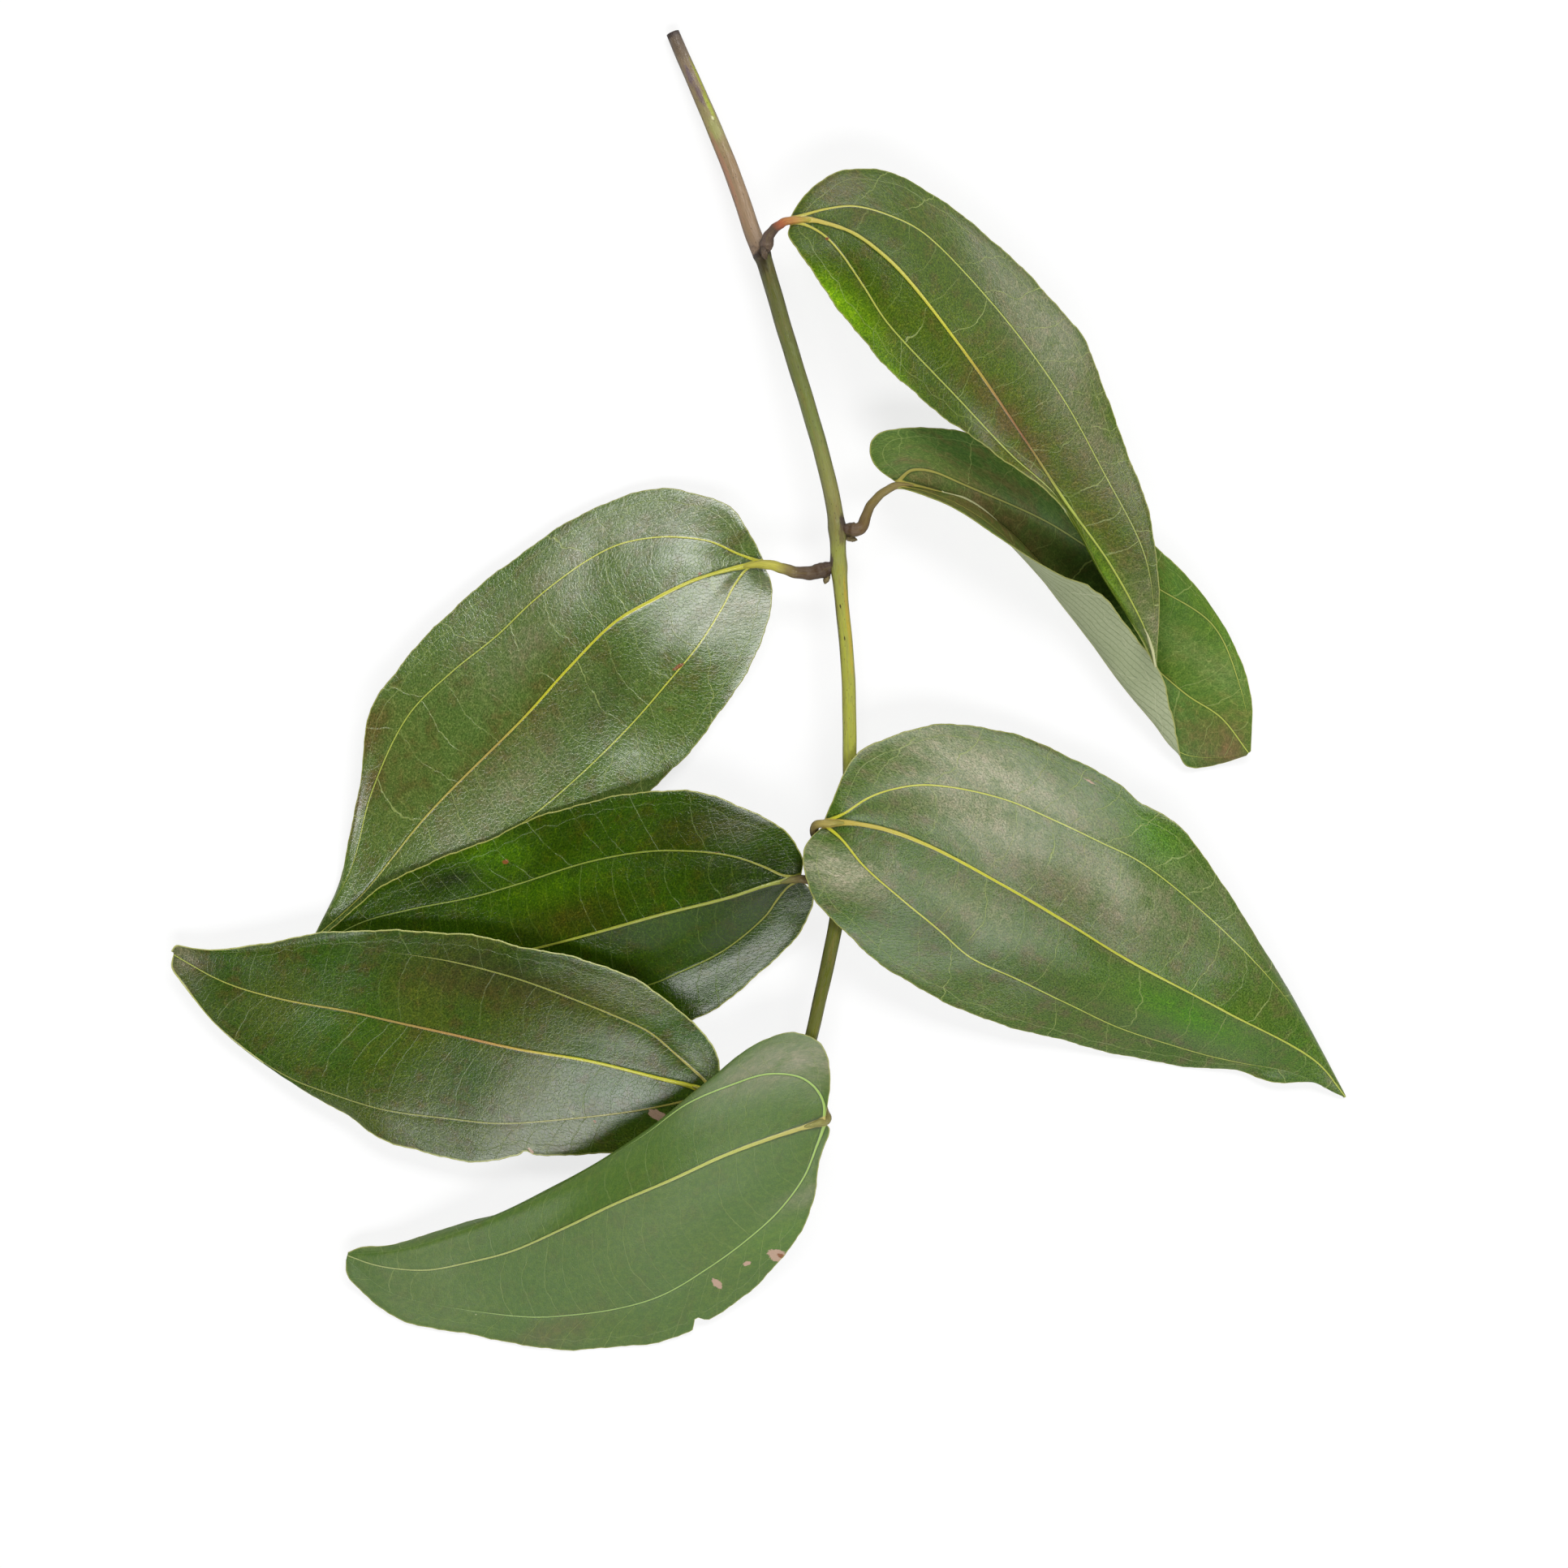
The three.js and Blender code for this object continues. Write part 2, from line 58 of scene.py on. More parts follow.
lamp_distance = 2.8
lamp_zenith = math.radians(38)
for lamp_name, azimuth, power in (("far_softbox", 15, 50), ("near_softbox", 167, 44)):
    lamp_data = bpy.data.lights.new(lamp_name, "AREA")
    lamp_data.shape = "RECTANGLE"
    lamp_data.size = 2.3
    lamp_data.size_y = 0.95
    lamp_data.energy = power
    lamp = bpy.data.objects.new(lamp_name, lamp_data)
    away = math.radians(azimuth)
    lamp.location = (
        lamp_distance * math.sin(lamp_zenith) * math.sin(away),
        lamp_distance * math.sin(lamp_zenith) * math.cos(away),
        lamp_distance * math.cos(lamp_zenith),
    )
    lamp.rotation_euler = lamp.location.to_track_quat("Z", "Y").to_euler()
    lamp.visible_camera = False
    bpy.context.scene.collection.objects.link(lamp)

# The table's paper is plain and matt to every light. To the camera it glows nearly white and still takes
# a faint shadow.
half_table = 4.0
table_corners = [(half_table * x, half_table * y, 0) for x, y in ((-1, -1), (1, -1), (1, 1), (-1, 1))]
table_mesh = bpy.data.meshes.new("table_top")
table_mesh.from_pydata(table_corners, [], [(0, 1, 2, 3)])
table_top = bpy.data.objects.new("table_top", table_mesh)
bpy.context.scene.collection.objects.link(table_top)
paper = bpy.data.materials.new("white_paper")
paper.use_nodes = True
paper_nodes = paper.node_tree.nodes
paper_links = paper.node_tree.links
paper_nodes.clear()
rays = paper_nodes.new("ShaderNodeLightPath")
matt = paper_nodes.new("ShaderNodeBsdfDiffuse")
matt.inputs["Color"].default_value = (0.8, 0.8, 0.8, 1)
faint_shadow = paper_nodes.new("ShaderNodeBsdfDiffuse")
faint_shadow.inputs["Color"].default_value = (0.25, 0.25, 0.25, 1)
white = paper_nodes.new("ShaderNodeEmission")
white.inputs["Strength"].default_value = 0.78
whitened = paper_nodes.new("ShaderNodeAddShader")
shown = paper_nodes.new("ShaderNodeMixShader")
paper_out = paper_nodes.new("ShaderNodeOutputMaterial")
paper_links.new(white.outputs[0], whitened.inputs[0])
paper_links.new(faint_shadow.outputs[0], whitened.inputs[1])
paper_links.new(rays.outputs["Is Camera Ray"], shown.inputs[0])
paper_links.new(matt.outputs[0], shown.inputs[1])
paper_links.new(whitened.outputs[0], shown.inputs[2])
paper_links.new(shown.outputs[0], paper_out.inputs[0])
table_mesh.materials.append(paper)

camera_height = 1.2
table_width_seen = 0.35982
camera_data = bpy.data.cameras.new("copy_camera")
camera_data.sensor_width = 36.0
camera_data.lens = camera_data.sensor_width * camera_height / table_width_seen
camera_data.clip_end = 20.0
camera = bpy.data.objects.new("copy_camera", camera_data)
camera.location = (0.005595, -0.021198, camera_height)
bpy.context.scene.collection.objects.link(camera)
bpy.context.scene.camera = camera
bpy.context.scene.view_settings.view_transform = "Standard"

# The stem: one slim young twig, cut across at the top. Its bark is brown near the cut and green further
# down, ringed where each leaf joins it. Everything else grows from it, so it comes first.
MM = 0.001
stem_line = [
    (-19.9, 150.9, 1.5), (-8, 123, 5), (-5, 115, 6), (-1.5, 104.5, 7.5), (1, 98.5, 8.2),
    (5.5, 83, 9.3), (11, 65, 10.5), (16, 46.5, 11.6), (17.5, 38, 12), (18, 28, 12.1), (20, 5.5, 12.3),
    (20.5, -13.5, 12.2), (20, -33, 11.7), (17, -55, 11), (13, -73.5, 10.8), (9.9, -86.5, 11),
]


def unit(vectors):
    """The same directions, one long."""
    return vectors / (np.linalg.norm(vectors, axis=-1, keepdims=True) + 1e-9)


def travel(line):
    """How far along a line each of its places lies."""
    return np.concatenate([[0], np.cumsum(np.linalg.norm(np.diff(line, axis=0), axis=1))])


def bridge(before, start, end, after, step):
    """The stretch from start to end of a line that also passes through before and after."""
    def gap(a, b):
        return np.maximum(((b - a) ** 2).sum(-1, keepdims=True) ** 0.25, 1e-3)
    first, middle, last = gap(before, start), gap(start, end), gap(end, after)
    leave = ((start - before) / first - (end - before) / (first + middle) + (end - start) / middle) * middle
    arrive = ((end - start) / middle - (after - start) / (middle + last) + (after - end) / last) * middle
    bend = 3 * (end - start) - 2 * leave - arrive
    twist = 2 * (start - end) + leave + arrive
    return start + leave * step + bend * step ** 2 + twist * step ** 3


def line_through(points, shares):
    """Places at the given shares of the length of a smooth line through the points."""
    points = np.array(points, float)
    ends = np.vstack([2 * points[0] - points[1], points, 2 * points[-1] - points[-2]])
    steps = np.linspace(0, 1, 40, endpoint=False)[:, None]
    runs = [bridge(*ends[i:i + 4], steps) for i in range(len(points) - 1)]
    dense = np.vstack(runs + [points[-1:]])
    length = travel(dense)
    return np.stack([np.interp(shares * length[-1], length, axis) for axis in dense.T], 1)


def make_piece(name, places, faces, facts, material):
    """A piece from places in millimetres, with named facts for its finish. It stands for the CAD node of
    the same name."""
    mesh = bpy.data.meshes.new(name)
    mesh.from_pydata((places * MM).tolist(), [], faces)
    for fact, values in facts.items():
        stored = mesh.attributes.new(fact, "FLOAT_VECTOR", "POINT")
        stored.data.foreach_set("vector", np.ascontiguousarray(values, dtype=np.float32).ravel())
    mesh.shade_smooth()
    mesh.materials.append(material)
    piece = bpy.data.objects.new(name, mesh)
    bpy.context.scene.collection.objects.link(piece)
    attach(piece, "root")
    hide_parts(name)
    return piece


def rod(name, points, radius_at, steps, sides, material):
    """A round woody rod along a line, closed at both ends. radius_at(share, turn) gives its radius."""
    line = line_through(points, np.linspace(0, 1, steps))
    ahead = unit(np.gradient(line, axis=0))
    side = unit(np.cross(ahead, (0, 0, 1)))
    top = np.cross(side, ahead)
    share, turn = np.meshgrid(np.linspace(0, 1, steps), np.arange(sides) / sides, indexing="ij")
    swing = 2 * np.pi * turn[..., None]
    radius = radius_at(share, turn)[..., None]
    skin = line[:, None] + radius * (np.cos(swing) * side[:, None] + np.sin(swing) * top[:, None])
    places = np.concatenate([skin.reshape(-1, 3), line[:1], line[-1:]])
    first, last = len(places) - 2, len(places) - 1

    here = np.arange(steps * sides).reshape(steps, sides)
    after = np.roll(here, -1, axis=1)
    faces = np.stack([here[:-1], after[:-1], after[1:], here[1:]], -1).reshape(-1, 4).tolist()
    faces += [(first, b, a) for a, b in zip(here[0].tolist(), after[0].tolist())]
    faces += [(last, a, b) for a, b in zip(here[-1].tolist(), after[-1].tolist())]

    around = np.concatenate([np.cos(swing), np.sin(swing), share[..., None]], -1).reshape(-1, 3)
    around = np.concatenate([around, [(0, 0, 0), (0, 0, 1)]])
    end_grain = np.zeros_like(around)
    end_grain[[first, last]] = 1
    facts = {"around": around, "grain": around * (0.2, 0.2, travel(line)[-1] / 10), "end_grain": end_grain}
    make_piece(name, places, faces, facts, material)


def light_of(shade):
    """The light that a colour sends back. Its shade is how a screen shows it: red, green, blue, up to 255."""
    steps = np.array(shade) / 255
    light = np.where(steps < 0.04045, steps / 12.92, ((steps + 0.055) / 1.055) ** 2.4)
    return (*light.tolist(), 1)


class Finish:
    """One procedural finish, laid down by short calls that each add a node and hand back its output."""

    def __init__(self, name):
        self.material = bpy.data.materials.new(name)
        self.material.use_nodes = True
        self.tree = self.material.node_tree
        self.shader = self.tree.nodes["Principled BSDF"]

    def put(self, socket, value):
        if isinstance(value, bpy.types.NodeSocket):
            self.tree.links.new(value, socket)
        elif socket.type == "RGBA" and len(value) == 3:
            socket.default_value = light_of(value)
        else:
            socket.default_value = value

    def add(self, kind, inputs, **settings):
        made = self.tree.nodes.new("ShaderNode" + kind)
        for setting, value in settings.items():
            setattr(made, setting, value)
        for socket, value in inputs.items():
            self.put(made.inputs[socket], value)
        return made

    def parts(self, vector):
        """A vector's three numbers."""
        return self.add("SeparateXYZ", {0: vector}).outputs

    def fact(self, name):
        """What the mesh holds at each point under this name, as a vector."""
        return self.add("Attribute", {}, attribute_name=name).outputs["Vector"]

    def maths(self, operation, *values):
        return self.add("Math", dict(enumerate(values)), operation=operation).outputs[0]

    def times(self, value, factor):
        return self.maths("MULTIPLY", value, factor)

    def scaled(self, value, factor, plus):
        return self.maths("MULTIPLY_ADD", value, factor, plus)

    def size(self, value):
        return self.maths("ABSOLUTE", value)

    def rise(self, value, low, high, to=1.0):
        """0 where value is below low, up to `to` where it is above high, with a smooth step between."""
        ends = {"Value": value, "From Min": low, "From Max": high, "To Max": to}
        return self.add("MapRange", ends, interpolation_type="SMOOTHSTEP").outputs[0]

    def noise(self, at, scale, detail=2.0, roughness=0.5):
        inputs = {"Vector": at, "Scale": scale, "Detail": detail, "Roughness": roughness}
        return self.add("TexNoise", inputs).outputs[0]

    def vectors(self, operation, *values):
        return self.add("VectorMath", dict(enumerate(values)), operation=operation).outputs[0]

    def stretch(self, at, scale):
        return self.vectors("MULTIPLY", at, scale)

    def shift(self, at, by, amount):
        """Pushes a place about by a noise of its own, for lines that wander."""
        wander = self.add("TexNoise", {"Vector": at, "Scale": by, "Detail": 2.0}).outputs["Color"]
        centred = self.vectors("SUBTRACT", wander, (0.5, 0.5, 0.5))
        return self.vectors("MULTIPLY_ADD", centred, (amount, amount, amount), at)

    def cells(self, at, scale, feature="F1"):
        """A net of random cells."""
        inputs = {"Vector": at, "Scale": scale, "Randomness": 1.0}
        return self.add("TexVoronoi", inputs, feature=feature).outputs

    def blend(self, share, low, high):
        """Two colours mixed by a share."""
        return self.add("Mix", {0: share, 6: low, 7: high}, data_type="RGBA").outputs[2]

    def tone(self, share, skin, factors):
        """A colour whose red, green and blue are multiplied by factors, as far as share says."""
        inputs = {0: share, 6: skin, 7: (*factors, 1)}
        return self.add("Mix", inputs, data_type="RGBA", blend_type="MULTIPLY").outputs[2]

    def ramp(self, value, stops):
        """A colour that runs through (place, colour) stops."""
        made = self.add("ValToRGB", {0: value})
        elements = made.color_ramp.elements
        for _ in stops[2:]:
            elements.new(0.5)
        for element, (place, shade) in zip(elements, stops):
            element.position = place
            element.color = light_of(shade)
        return made.outputs[0]

    def dress(self, skin, roughness, height, depth, gloss):
        """Hands the finished skin to the shader, with a bump that is depth millimetres deep."""
        bump = self.add("Bump", {"Height": height, "Distance": depth * MM, "Strength": 1.0})
        self.put(self.shader.inputs["Base Color"], skin)
        self.put(self.shader.inputs["Roughness"], roughness)
        self.put(self.shader.inputs["Normal"], bump.outputs[0])
        self.shader.inputs["Specular IOR Level"].default_value = gloss
        return self.material


def bark(name, along, streak_colour, patch_colour, pore_strength, seed, marks=()):
    """Young bark: a colour that runs along the rod, streaks, patches, small dark pores, painted shade on both
    flanks and a dull skin.
    marks are ragged spots: share along, side from 1 left to -1 right, length, width, strength, colour."""
    finish = Finish(name)
    around = finish.fact("around")
    left, _, share = finish.parts(around)
    end = finish.parts(finish.fact("end_grain"))[0]
    place = finish.vectors("ADD", finish.fact("grain"), (seed, seed, seed))
    blur = finish.maths("SUBTRACT", finish.noise(place, 4.0), 0.5)
    skin = finish.ramp(finish.scaled(blur, 0.03, share), along)
    streak = finish.noise(finish.stretch(place, (14, 14, 1.6)), 2.0, 4.0, 0.6)
    skin = finish.blend(finish.rise(streak, 0.42, 0.7, 0.55), skin, finish.blend(0.5, skin, streak_colour))
    patch = finish.noise(finish.stretch(place, (6, 6, 1.2)), 1.3, 3.0, 0.6)
    skin = finish.blend(finish.rise(patch, 0.5, 0.68, 0.6), skin, finish.blend(0.45, skin, patch_colour))
    ragged = finish.noise(finish.stretch(place, (9, 9, 3)), 3.0, 3.0, 0.65)
    for at, side, length, width, strength, tint in marks:
        squeeze, middle = (1 / width, 0, 1 / length), (side / width, 0, at / length)
        away = finish.add("VectorMath", {0: finish.stretch(around, squeeze), 1: middle}, operation="DISTANCE")
        away = finish.scaled(ragged, 1.6, away.outputs["Value"])
        skin = finish.blend(finish.rise(away, 2.0, 1.3, strength), skin, tint)
    pores = finish.cells(finish.stretch(place, (10, 10, 3.2)), 1.7)
    pore = finish.rise(pores["Distance"], 0.16, 0.07, pore_strength)
    skin = finish.blend(pore, skin, (62, 48, 34))
    # Painted shade: both flanks of the rod are darkened, as a round twig looks when lit from overhead.
    painted_flank_shade = finish.rise(finish.size(left), 0.72, 1.0, 0.6)
    skin = finish.tone(painted_flank_shade, skin, (0.45, 0.42, 0.4))
    skin = finish.blend(finish.rise(end, 0.1, 0.5), skin, (150, 132, 96))
    height = finish.noise(finish.stretch(place, (30, 30, 5)), 2.0, 3.0)
    height = finish.scaled(pore, 0.5, finish.scaled(height, 0.6, streak))
    return finish.dress(skin, finish.rise(streak, 0.2, 0.9, 0.9), height, 0.12, 0.4)


stem_widths = [
    (0, 1.5), (0.1, 1.8), (0.19, 1.9), (0.218, 2.0), (0.24, 1.85), (0.42, 1.78), (0.49, 1.85),
    (0.535, 1.75), (0.56, 1.56), (0.75, 1.6), (0.78, 1.7), (0.83, 1.7), (0.9, 1.6), (0.98, 1.45), (1, 0.9),
]
# Each joint's place along the stem, how far its ring stands out, and how wide the ring is.
stem_joints = [
    (0.2225, 0.12, 0.006), (0.228, 0.16, 0.003), (0.493, 0.28, 0.008), (0.5275, 0.25, 0.008),
    (0.784, 0.3, 0.007), (0.8265, 0.25, 0.006),
]


def stem_radius(share, turn):
    """Wide at the joints, with shallow ribs and knots."""
    radius = np.interp(share, *zip(*stem_widths))
    for place, rise, width in stem_joints:
        radius = radius + rise * np.exp(-((share - place) / width) ** 2)
    wide_ribs = 0.05 * np.sin(2 * np.pi * (3 * turn + 1.3 * share))
    fine_ribs = 0.03 * np.sin(2 * np.pi * (7 * turn + 9 * share))
    knots = 0.05 * np.sin(41 * share + 2 * np.pi * turn) * np.sin(97 * share)
    return radius * (1 + 0.5 * (wide_ribs + fine_ribs + knots))


stem_colours = [
    (0.0, (96, 82, 72)), (0.02, (140, 124, 106)), (0.06, (150, 132, 98)), (0.1, (164, 156, 100)),
    (0.13, (164, 138, 106)), (0.19, (166, 138, 108)), (0.222, (152, 128, 104)), (0.2265, (84, 68, 60)),
    (0.235, (92, 92, 46)), (0.28, (106, 110, 56)), (0.34, (116, 124, 62)), (0.4, (130, 140, 72)),
    (0.46, (150, 148, 84)), (0.49, (138, 136, 78)), (0.52, (156, 160, 80)), (0.58, (178, 180, 76)),
    (0.68, (178, 182, 74)), (0.76, (146, 148, 62)), (0.84, (106, 112, 44)), (0.9, (96, 102, 36)),
    (1.0, (110, 114, 42)),
]
stem_marks = [
    (0, 0, 0.006, 1.6, 1, (62, 50, 46)), (0.016, -0.1, 0.015, 1, 0.6, (104, 88, 72)),
    (0.045, 0.3, 0.012, 0.45, 0.8, (116, 98, 106)), (0.066, 0.05, 0.013, 0.4, 0.8, (112, 92, 98)),
    (0.05, -0.75, 0.022, 0.22, 0.8, (158, 164, 40)), (0.078, -0.55, 0.016, 0.3, 0.9, (168, 178, 54)),
    (0.102, 0, 0.012, 0.9, 0.5, (172, 176, 104)), (0.091, -0.3, 0.0026, 0.14, 1, (226, 226, 170)),
    (0.14, 0.7, 0.05, 0.3, 0.5, (188, 132, 104)), (0.228, 0.0, 0.0035, 1.2, 1.0, (58, 46, 40)),
    (0.238, 0.4, 0.01, 0.7, 0.8, (70, 62, 36)), (0.489, -0.75, 0.009, 0.45, 1.0, (78, 66, 56)),
    (0.499, -0.5, 0.01, 0.4, 0.7, (104, 90, 66)), (0.523, 0.85, 0.008, 0.3, 1.0, (84, 72, 54)),
    (0.58, -0.65, 0.05, 0.28, 0.7, (196, 168, 62)), (0.57, 0.9, 0.05, 0.22, 0.6, (120, 112, 50)),
    (0.565, 0.25, 0.0025, 0.12, 1.0, (70, 64, 30)), (0.595, 0.1, 0.0022, 0.1, 1.0, (70, 64, 30)),
]
stem_bark = bark("stem_bark", stem_colours, (84, 78, 52), (150, 122, 72), 0.7, 0.0, stem_marks)
rod("stem", stem_line, stem_radius, 640, 28, stem_bark)

# The leaf stalks: short woody necks that leave the stem at a joint, swell a little at both ends and run
# on into the blade as its midrib. Each has a brown skin that turns yellow-green or orange at the blade.
stalk_lines = {
    1: [(1.35, 100.15, 8.76), (2.09, 103.17, 12), (3.48, 104.84, 13.6), (5.04, 105.82, 14.8),
        (6.09, 106.3, 15.3), (8.25, 106.51, 15.77), (11.79, 106.45, 16.38)],
    2: [(18.28, 37.17, 12.39), (22, 36.58, 12.6), (23.47, 37.5, 12.6), (24.3, 39.99, 12.6),
        (25.59, 42.46, 12.8), (27.7, 44.66, 13.1), (30.46, 46.3, 13.4), (32.49, 46.62, 13.07),
        (35.84, 46.17, 11.85)],
    3: [(17.2, 28.63, 12.14), (14.08, 27.3, 11.9), (11.31, 26.75, 11.7), (8.18, 26.94, 11.6),
        (5.04, 27.86, 11.8), (2.15, 28.62, 12), (-0.17, 28.69, 11.91), (-3.67, 28.2, 11.25)],
    4: [(19.92, -34.54, 12.75), (15.54, -34.37, 13.3), (13.33, -33.35, 13.8), (12.4, -31.68, 14.8),
        (13.04, -30.39, 16), (15.9, -30.06, 17.61), (19.27, -29.92, 18.86)],
    5: [(18.14, -44.99, 11.4), (14.27, -44.08, 11), (12.24, -43.43, 11), (10.26, -42.84, 11.2),
        (8.17, -42.87, 11.65), (4.82, -43.67, 12.71)],
    6: [(8.98, -86.85, 10.89), (3.57, -88.54, 11.2), (-1.97, -90.18, 11.6), (-9.34, -91.43, 12.3),
        (-11.76, -91.04, 12.4), (-15.16, -89.91, 12.1)],
    7: [(10.79, -86.76, 11.12), (12.97, -91.09, 11.8), (14.07, -93.81, 12.6), (14.98, -95.94, 13.8),
        (15.44, -96.98, 14.9), (15.15, -97.57, 15.6), (13.55, -97.83, 17.36), (10.15, -98.72, 18.15)],
}
dark_brown, mid_brown, ochre = (70, 52, 44), (112, 88, 58), (140, 124, 66)
yellow_green, orange_red, vein_gold = (168, 164, 70), (196, 110, 70), (204, 198, 78)
stalk_colours = {
    1: [
        (0, (120, 100, 84)), (0.45, (98, 78, 64)), (0.58, orange_red),
        (0.8, (214, 160, 84)), (1, vein_gold),
    ],
    2: [(0, dark_brown), (0.2, mid_brown), (0.6, ochre), (1, (150, 134, 76))],
    3: [(0, dark_brown), (0.4, (104, 84, 58)), (0.52, ochre), (0.66, vein_gold), (1, vein_gold)],
    4: [(0, dark_brown), (0.42, dark_brown), (0.6, ochre), (0.75, (196, 178, 96)), (1, yellow_green)],
    5: [(0, dark_brown), (0.5, mid_brown), (1, (120, 120, 50))],
    6: [(0, (96, 92, 48)), (0.6, ochre), (1, yellow_green)],
    7: [(0, (100, 96, 50)), (0.6, (136, 128, 70)), (1, (170, 168, 92))],
}
stalk_widths = [
    (0, 0.8), (0.12, 1.6), (0.22, 1.35), (0.35, 1.1), (0.6, 1.0), (0.75, 0.95), (0.9, 0.6), (1, 0.25),
]


def stalk_radius(thickness):
    """Thick in the joint, slimmer half way, with wrinkles near the stem."""
    def radius(share, turn):
        plain = np.interp(share, *zip(*stalk_widths))
        past_joint = np.clip(share / 0.3, 0, 1)
        wrinkles = 0.07 * np.sin(95 * share + 2.5 * np.sin(2 * np.pi * turn)) * (1 - past_joint)
        uneven = 0.06 * np.sin(2 * np.pi * (2 * turn + share)) + 0.05 * np.sin(40 * share + 5 * turn)
        return plain * (1 + (thickness - 1) * past_joint) * (1 + uneven + wrinkles)
    return radius


for leaf_number, stalk_line in stalk_lines.items():
    run_of_colour = stalk_colours[leaf_number]
    stalk_bark = bark(f"stalk_{leaf_number}_skin", run_of_colour, dark_brown, ochre, 0.4, 3.1 * leaf_number)
    stalk_shape = stalk_radius(1.25 if leaf_number == 3 else 1.0)
    rod(f"leaf_{leaf_number}_stalk", stalk_line, stalk_shape, 120, 20, stalk_bark)

# The buds: small resting buds of overlapping brown scales, one in the fork above each stalk, and the
# growing tip between the last two leaves. Each is given as start, direction, length and radius.
buds = {
    "bud_1": ((1, 100, 11.2), (0.4, -1.7, 0.4), 2.2, 0.75),
    "bud_2": ((20.1, 34.8, 11), (2.4, -0.6, 0.2), 2.3, 0.7),
    "bud_3": ((15.4, 25.8, 11.4), (-0.7, -1.9, 0.2), 1.7, 0.7),
    "bud_4": ((17.2, -36.3, 12.3), (-1.1, -1.3, 0.8), 2, 0.6),
    "bud_5": ((15.7, -46.5, 10.8), (-0.9, -1.5, 0.3), 2, 0.6),
    "tip_bud": ((9.5, -88.6, 11), (-0.6, -2.2, 0.2), 3, 0.8),
}


def bud_radius(thickness):
    """A pointed egg whose scales step in towards the tip."""
    def radius(share, turn):
        egg = np.sqrt(np.clip(share * 1.1 + 0.25, 0, 1)) * (1 - share ** 4)
        scales = 1 - 0.2 * ((share * 3 + 0.5 * np.sin(2 * np.pi * turn * 2)) % 1)
        return 1.3 * thickness * (egg * scales + 0.04)
    return radius


pale_scales = [(0, (84, 66, 48)), (0.5, (146, 130, 90)), (1, (120, 108, 70))]
dark_scales = [(0, (70, 56, 46)), (0.6, (108, 90, 72)), (1, (84, 68, 54))]
pale_bud = bark("pale_bud_scales", pale_scales, dark_brown, ochre, 0.2, 21.0)
dark_bud = bark("dark_bud_scales", dark_scales, dark_brown, ochre, 0.2, 33.0)
for bud_name, (start, towards, length, thickness) in buds.items():
    start = np.array(start)
    ahead = unit(np.array(towards))
    bud_line = [start - 1.2 * ahead, start + 0.4 * length * ahead, start + length * ahead + (0, 0, 0.2)]
    bud_skin = dark_bud if bud_name == "bud_1" else pale_bud
    rod(bud_name, bud_line, bud_radius(thickness), 40, 16, bud_skin)

# The blades: leathery green sheets about half a millimetre thick, each with a midrib and two side veins
# that run from its base almost to its tip. Fine veins cross between them like rungs, and a net of finer
# ones fills the rest. Each blade is stretched over five lines, in millimetres: both edges, both side
# veins and the midrib, seen from above with the tip ahead.
blade_rows = 210
blade_thickness = 0.45
blade_waviness = 0.11
rim_bulge = 0.09
table_clearance = 0.02
# The midrib and the side veins: how large each is next to the midrib, how far they stand out above and
# below, and how deep the blade dips beside them on top.
vein_sizes = (1.0, 0.6, 0.6)
rise_above, rise_below, dip = 0.16, 0.45, 0.1
edge_waves = ((0.16, 17), (0.1, 7.3), (0.06, 3.1), (0.04, 1.9))
rib_widths = [(0, 1.4), (0.02, 0.75), (0.05, 0.48), (0.1, 0.36), (0.3, 0.27), (0.7, 0.2), (1, 0.11)]
vein_widths = [(0, 0.5), (0.03, 0.3), (0.1, 0.2), (0.4, 0.17), (0.8, 0.13), (1, 0.08)]


def strip_shares():
    """Places across the blade, 0 at the left edge and 1 at the right, closer together at veins and edges."""
    near = [0, 0.004, 0.009, 0.016, 0.028]
    quarter = near + list(np.linspace(0.028, 0.222, 16)[1:-1]) + [0.25 - n for n in reversed(near[1:])]
    return np.array([q + start for start in (0, 0.25, 0.5, 0.75) for q in quarter] + [1.0])


def soft_noise(along, across, length, seed):
    """A smooth wandering value, about -1 to 1, over lengths in millimetres."""
    draw = np.random.default_rng(seed)
    total = 0
    for _ in range(6):
        angle = draw.uniform(0, 2 * np.pi)
        phase = draw.uniform(0, 2 * np.pi)
        stretch = draw.uniform(0.7, 1.5)
        run = along * np.cos(angle) + across * np.sin(angle)
        total = total + np.sin(2 * np.pi * stretch * run / length + phase)
    return total / 3


def worn_shares(number, lines, shares, travelled, bites):
    """Places across each row of the blade, drawn in where an edge is uneven or bitten."""
    across = np.tile(strip_shares(), (blade_rows, 1))
    edge_noise = np.random.default_rng(number)
    for side, away in (("left", 0), ("right", 1)):
        nearness = np.clip(1 - np.abs(across - away) / 0.25, 0, 1)
        strip_width = np.linalg.norm(lines[:, 4 * away] - lines[:, 1 + 2 * away], axis=1)
        uneven = sum(size * np.sin(2 * np.pi * travelled / pitch + edge_noise.uniform(0, 6.28))
                     for size, pitch in edge_waves)
        worn = 0.12 + uneven * np.sin(np.pi * shares) ** 0.3
        for bite_side, place, width, depth in bites:
            if bite_side == side:
                worn = worn + depth * np.exp(-np.abs((travelled - place * travelled[-1]) / width * 2) ** 3)
        pull = worn / np.maximum(strip_width, 2) * 0.25 * (1 - 2 * away)
        across = across + pull[:, None] * nearness ** 3
    return across


